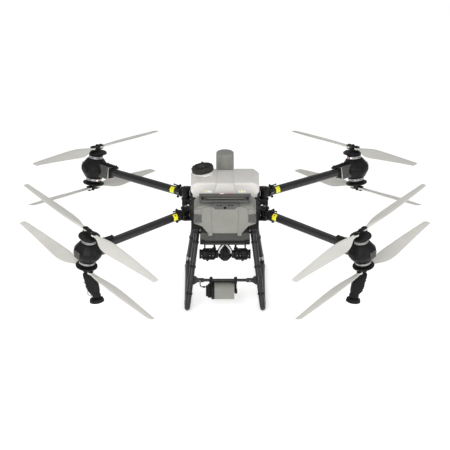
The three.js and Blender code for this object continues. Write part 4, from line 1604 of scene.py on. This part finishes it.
def build_drum():
    drum = Form(BODY)
    shell = [(0, -67), (53.6, -67), (DRUM_R, -65), (DRUM_R, 54), (52.5, 59), (0, 59)]
    drum.lathe(shell, 96, DRUM_PLACE, bevel=0)
    drum.finish("drum_shell", "airframe", "housing_moulding", "radar_drum")

    mount = Form(BODY)
    plate_r = DRUM_R + 0.5
    end_plate = [(0, -88), (50, -88), (54, -85), (plate_r, -81), (plate_r, -67.3), (0, -67.3)]
    mount.lathe(end_plate, 72, DRUM_PLACE)
    bracket_blocks(mount)
    clamp = [(9.8, -10), (16, -10), (17, -7), (17, 7), (16, 10), (9.8, 10), (9.8, -10)]
    for x in (-88, 67):
        mount.lathe(clamp, 32, BAR_PLACE @ shift(0, 0, x))
        mount.block((x - 9, x + 9), (BAR.y - 6, BAR.y + 6), (BAR_Z + 12, BAR_Z + 22), 2)
        mount.block((x - 9, x + 9), (BAR.y - 8, BAR.y + 8), (BAR_Z - 26, BAR_Z - 12), 2)
    mount.finish("drum_bracket", "airframe", "black_moulding", "radar_mount")


def build_cable():
    cable = Form(BODY)
    y, plug_y = BAR.y, DRUM_Y - 2
    path = [(-157, y, BAR_Z - 14.6), (-158, y, 172), (-156, y + 1, 157), (-148, y + 3, 148),
            (-138, plug_y - 2, 145), (-121.6, plug_y, 144)]
    cable.tube(path, 3.4, 16)
    boot = [(0, -12), (6, -12), (6, -2), (4, 4), (0, 4)]
    cable.lathe(boot, 20, shift(-128, plug_y, 144) @ turn(90, "Y"))
    cable.finish("drum_cable", "airframe", "rubber", "radar_cable")
    return sum(math.dist(a, b) for a, b in zip(path, path[1:]))


build_drum()
print("radar drum, with a cable of", round(build_cable()), "mm")

# %% [markdown]
# The frame round the tank carries the folding forks. It could be rebuilt too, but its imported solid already
# has the true forks and bores, so it stays, with a small bevel and softened shading from two modifiers.

# %% Frame edges
fork = frame["nodes"]["centre_frame"]
edge = fork.modifiers.new("edges", "BEVEL")
edge.width = 0.0018
edge.segments = 2
edge.limit_method = "ANGLE"
edge.angle_limit = math.radians(40)
fork.modifiers.new("shading", "WEIGHTED_NORMAL")
print("frame bevel", round(edge.width / MM, 2), "mm")

# %% [markdown]
# What makes the frame look assembled is added to it: clamp knobs and plates, a cable loom on each side and
# a cap with a bright nut over each hinge. The caps take their places from the fold joints, so they would
# follow if a hinge were moved.

# %% Frame fittings
SIDE_X = 219


def knurled(angle, height):
    return 1 + (0.05 * math.cos(10 * angle) if height > 27 else 0)


def side_fittings(black, bright, s):
    knob = [(0, 0), (14, 0), (14, 26), (18.5, 28), (20.5, 31), (20.5, 57), (18, 60), (0, 60)]
    black.lathe(knob, 80, shift(s * 214, 0, 593) @ turn(90 * s, "Y"), bevel=0.6, wave=knurled)
    for y in (-45, 60, 110):
        black.block(span(s, 196, SIDE_X), (y - 14, y + 14), (556, 614), 3)
    loom = [(SIDE_X, -150, 570), (226, -70, 562), (222, 0, 566), (226, 70, 562), (SIDE_X, 150, 572)]
    black.tube([(s * x, y, z) for x, y, z in loom], 6, 16)
    for y in (-32, 34, 100):
        bright.disc(3.4, (0, 2.2), 6, shift(s * SIDE_X, y, 602) @ turn(90 * s, "Y"), 0.4)


def hinge_caps(black, bright, arm):
    x, y, z = (BODY.inverted() @ arm.root.translation) / MM
    cap = [(0, -1), (24, -1), (24, 3), (20, 6), (0, 6)]
    for height in (40, -40):
        here = shift(x, y, z + height) @ turn(0 if height > 0 else 180, "X")
        black.lathe(cap, 40, here)
        bright.disc(7, (5.5, 9.5), 6, here, 0.7)


black, bright = Form(BODY), Form(BODY)
for s in (-1, 1):
    side_fittings(black, bright, s)
for arm in ARMS:
    hinge_caps(black, bright, arm)
black.finish("frame_fittings", "airframe", "black_moulding")
bright.finish("frame_bolts", "airframe", "machined_metal")
print("frame fittings and", 2 * len(ARMS), "hinge caps")

# %% [markdown]
# The drone stands in a plain studio. The floor could be left out, but then nothing would show that the skids touch
# the ground. It glows faintly, so that it stays near white while the drone's soft shadow still falls on it.

# %% Floor
FLOOR_HALF = 60


def stage_floor():
    mesh = bpy.data.meshes.new("floor")
    corners = [(x * FLOOR_HALF, y * FLOOR_HALF, 0) for x, y in ((-1, -1), (1, -1), (1, 1), (-1, 1))]
    mesh.from_pydata(corners, [], [(0, 1, 2, 3)])
    floor = bpy.data.objects.new("floor", mesh)
    bpy.context.scene.collection.objects.link(floor)
    made = bpy.data.materials.new("floor")
    made.use_nodes = True
    shader = made.node_tree.nodes["Principled BSDF"]
    shader.inputs["Base Color"].default_value = (0.9, 0.9, 0.9, 1)
    shader.inputs["Roughness"].default_value = 1.0
    shader.inputs["Specular IOR Level"].default_value = 0.0
    shader.inputs["Emission Color"].default_value = (1, 1, 1, 1)
    shader.inputs["Emission Strength"].default_value = 0.52
    mesh.materials.append(made)


stage_floor()
print("floor", 2 * FLOOR_HALF, "m wide")

# %% [markdown]
# Three area lamps light it. One hard lamp would leave the black pods without shape; a large soft key on the
# pilot's side, a weaker fill across from it and a broad one from above draw an edge on every facet, and
# the pale room fills the rest.

# %% Soft light


def soft_light(name, place, size, power, target=Vector((0, 0, 0.5))):
    lamp = bpy.data.lights.new(name, "AREA")
    lamp.shape = "RECTANGLE"
    lamp.size, lamp.size_y = size
    lamp.energy = power
    thing = bpy.data.objects.new(name, lamp)
    thing.location = place
    thing.rotation_euler = (target - Vector(place)).to_track_quat("-Z", "Y").to_euler()
    bpy.context.scene.collection.objects.link(thing)


soft_light("key", (-2.5, -7, 4.2), (4, 4), 330)
soft_light("fill", (5, -5, 3), (4, 3), 120)
soft_light("top", (0, 2.5, 7), (5, 5), 80)
world = bpy.data.worlds.new("room")
world.use_nodes = True
room = world.node_tree.nodes["Background"]
room.inputs["Color"].default_value = (1, 1, 1, 1)
room.inputs["Strength"].default_value = 0.38
bpy.context.scene.world = world
bpy.context.scene.view_settings.view_transform = "Standard"
print("three lamps and a pale room")
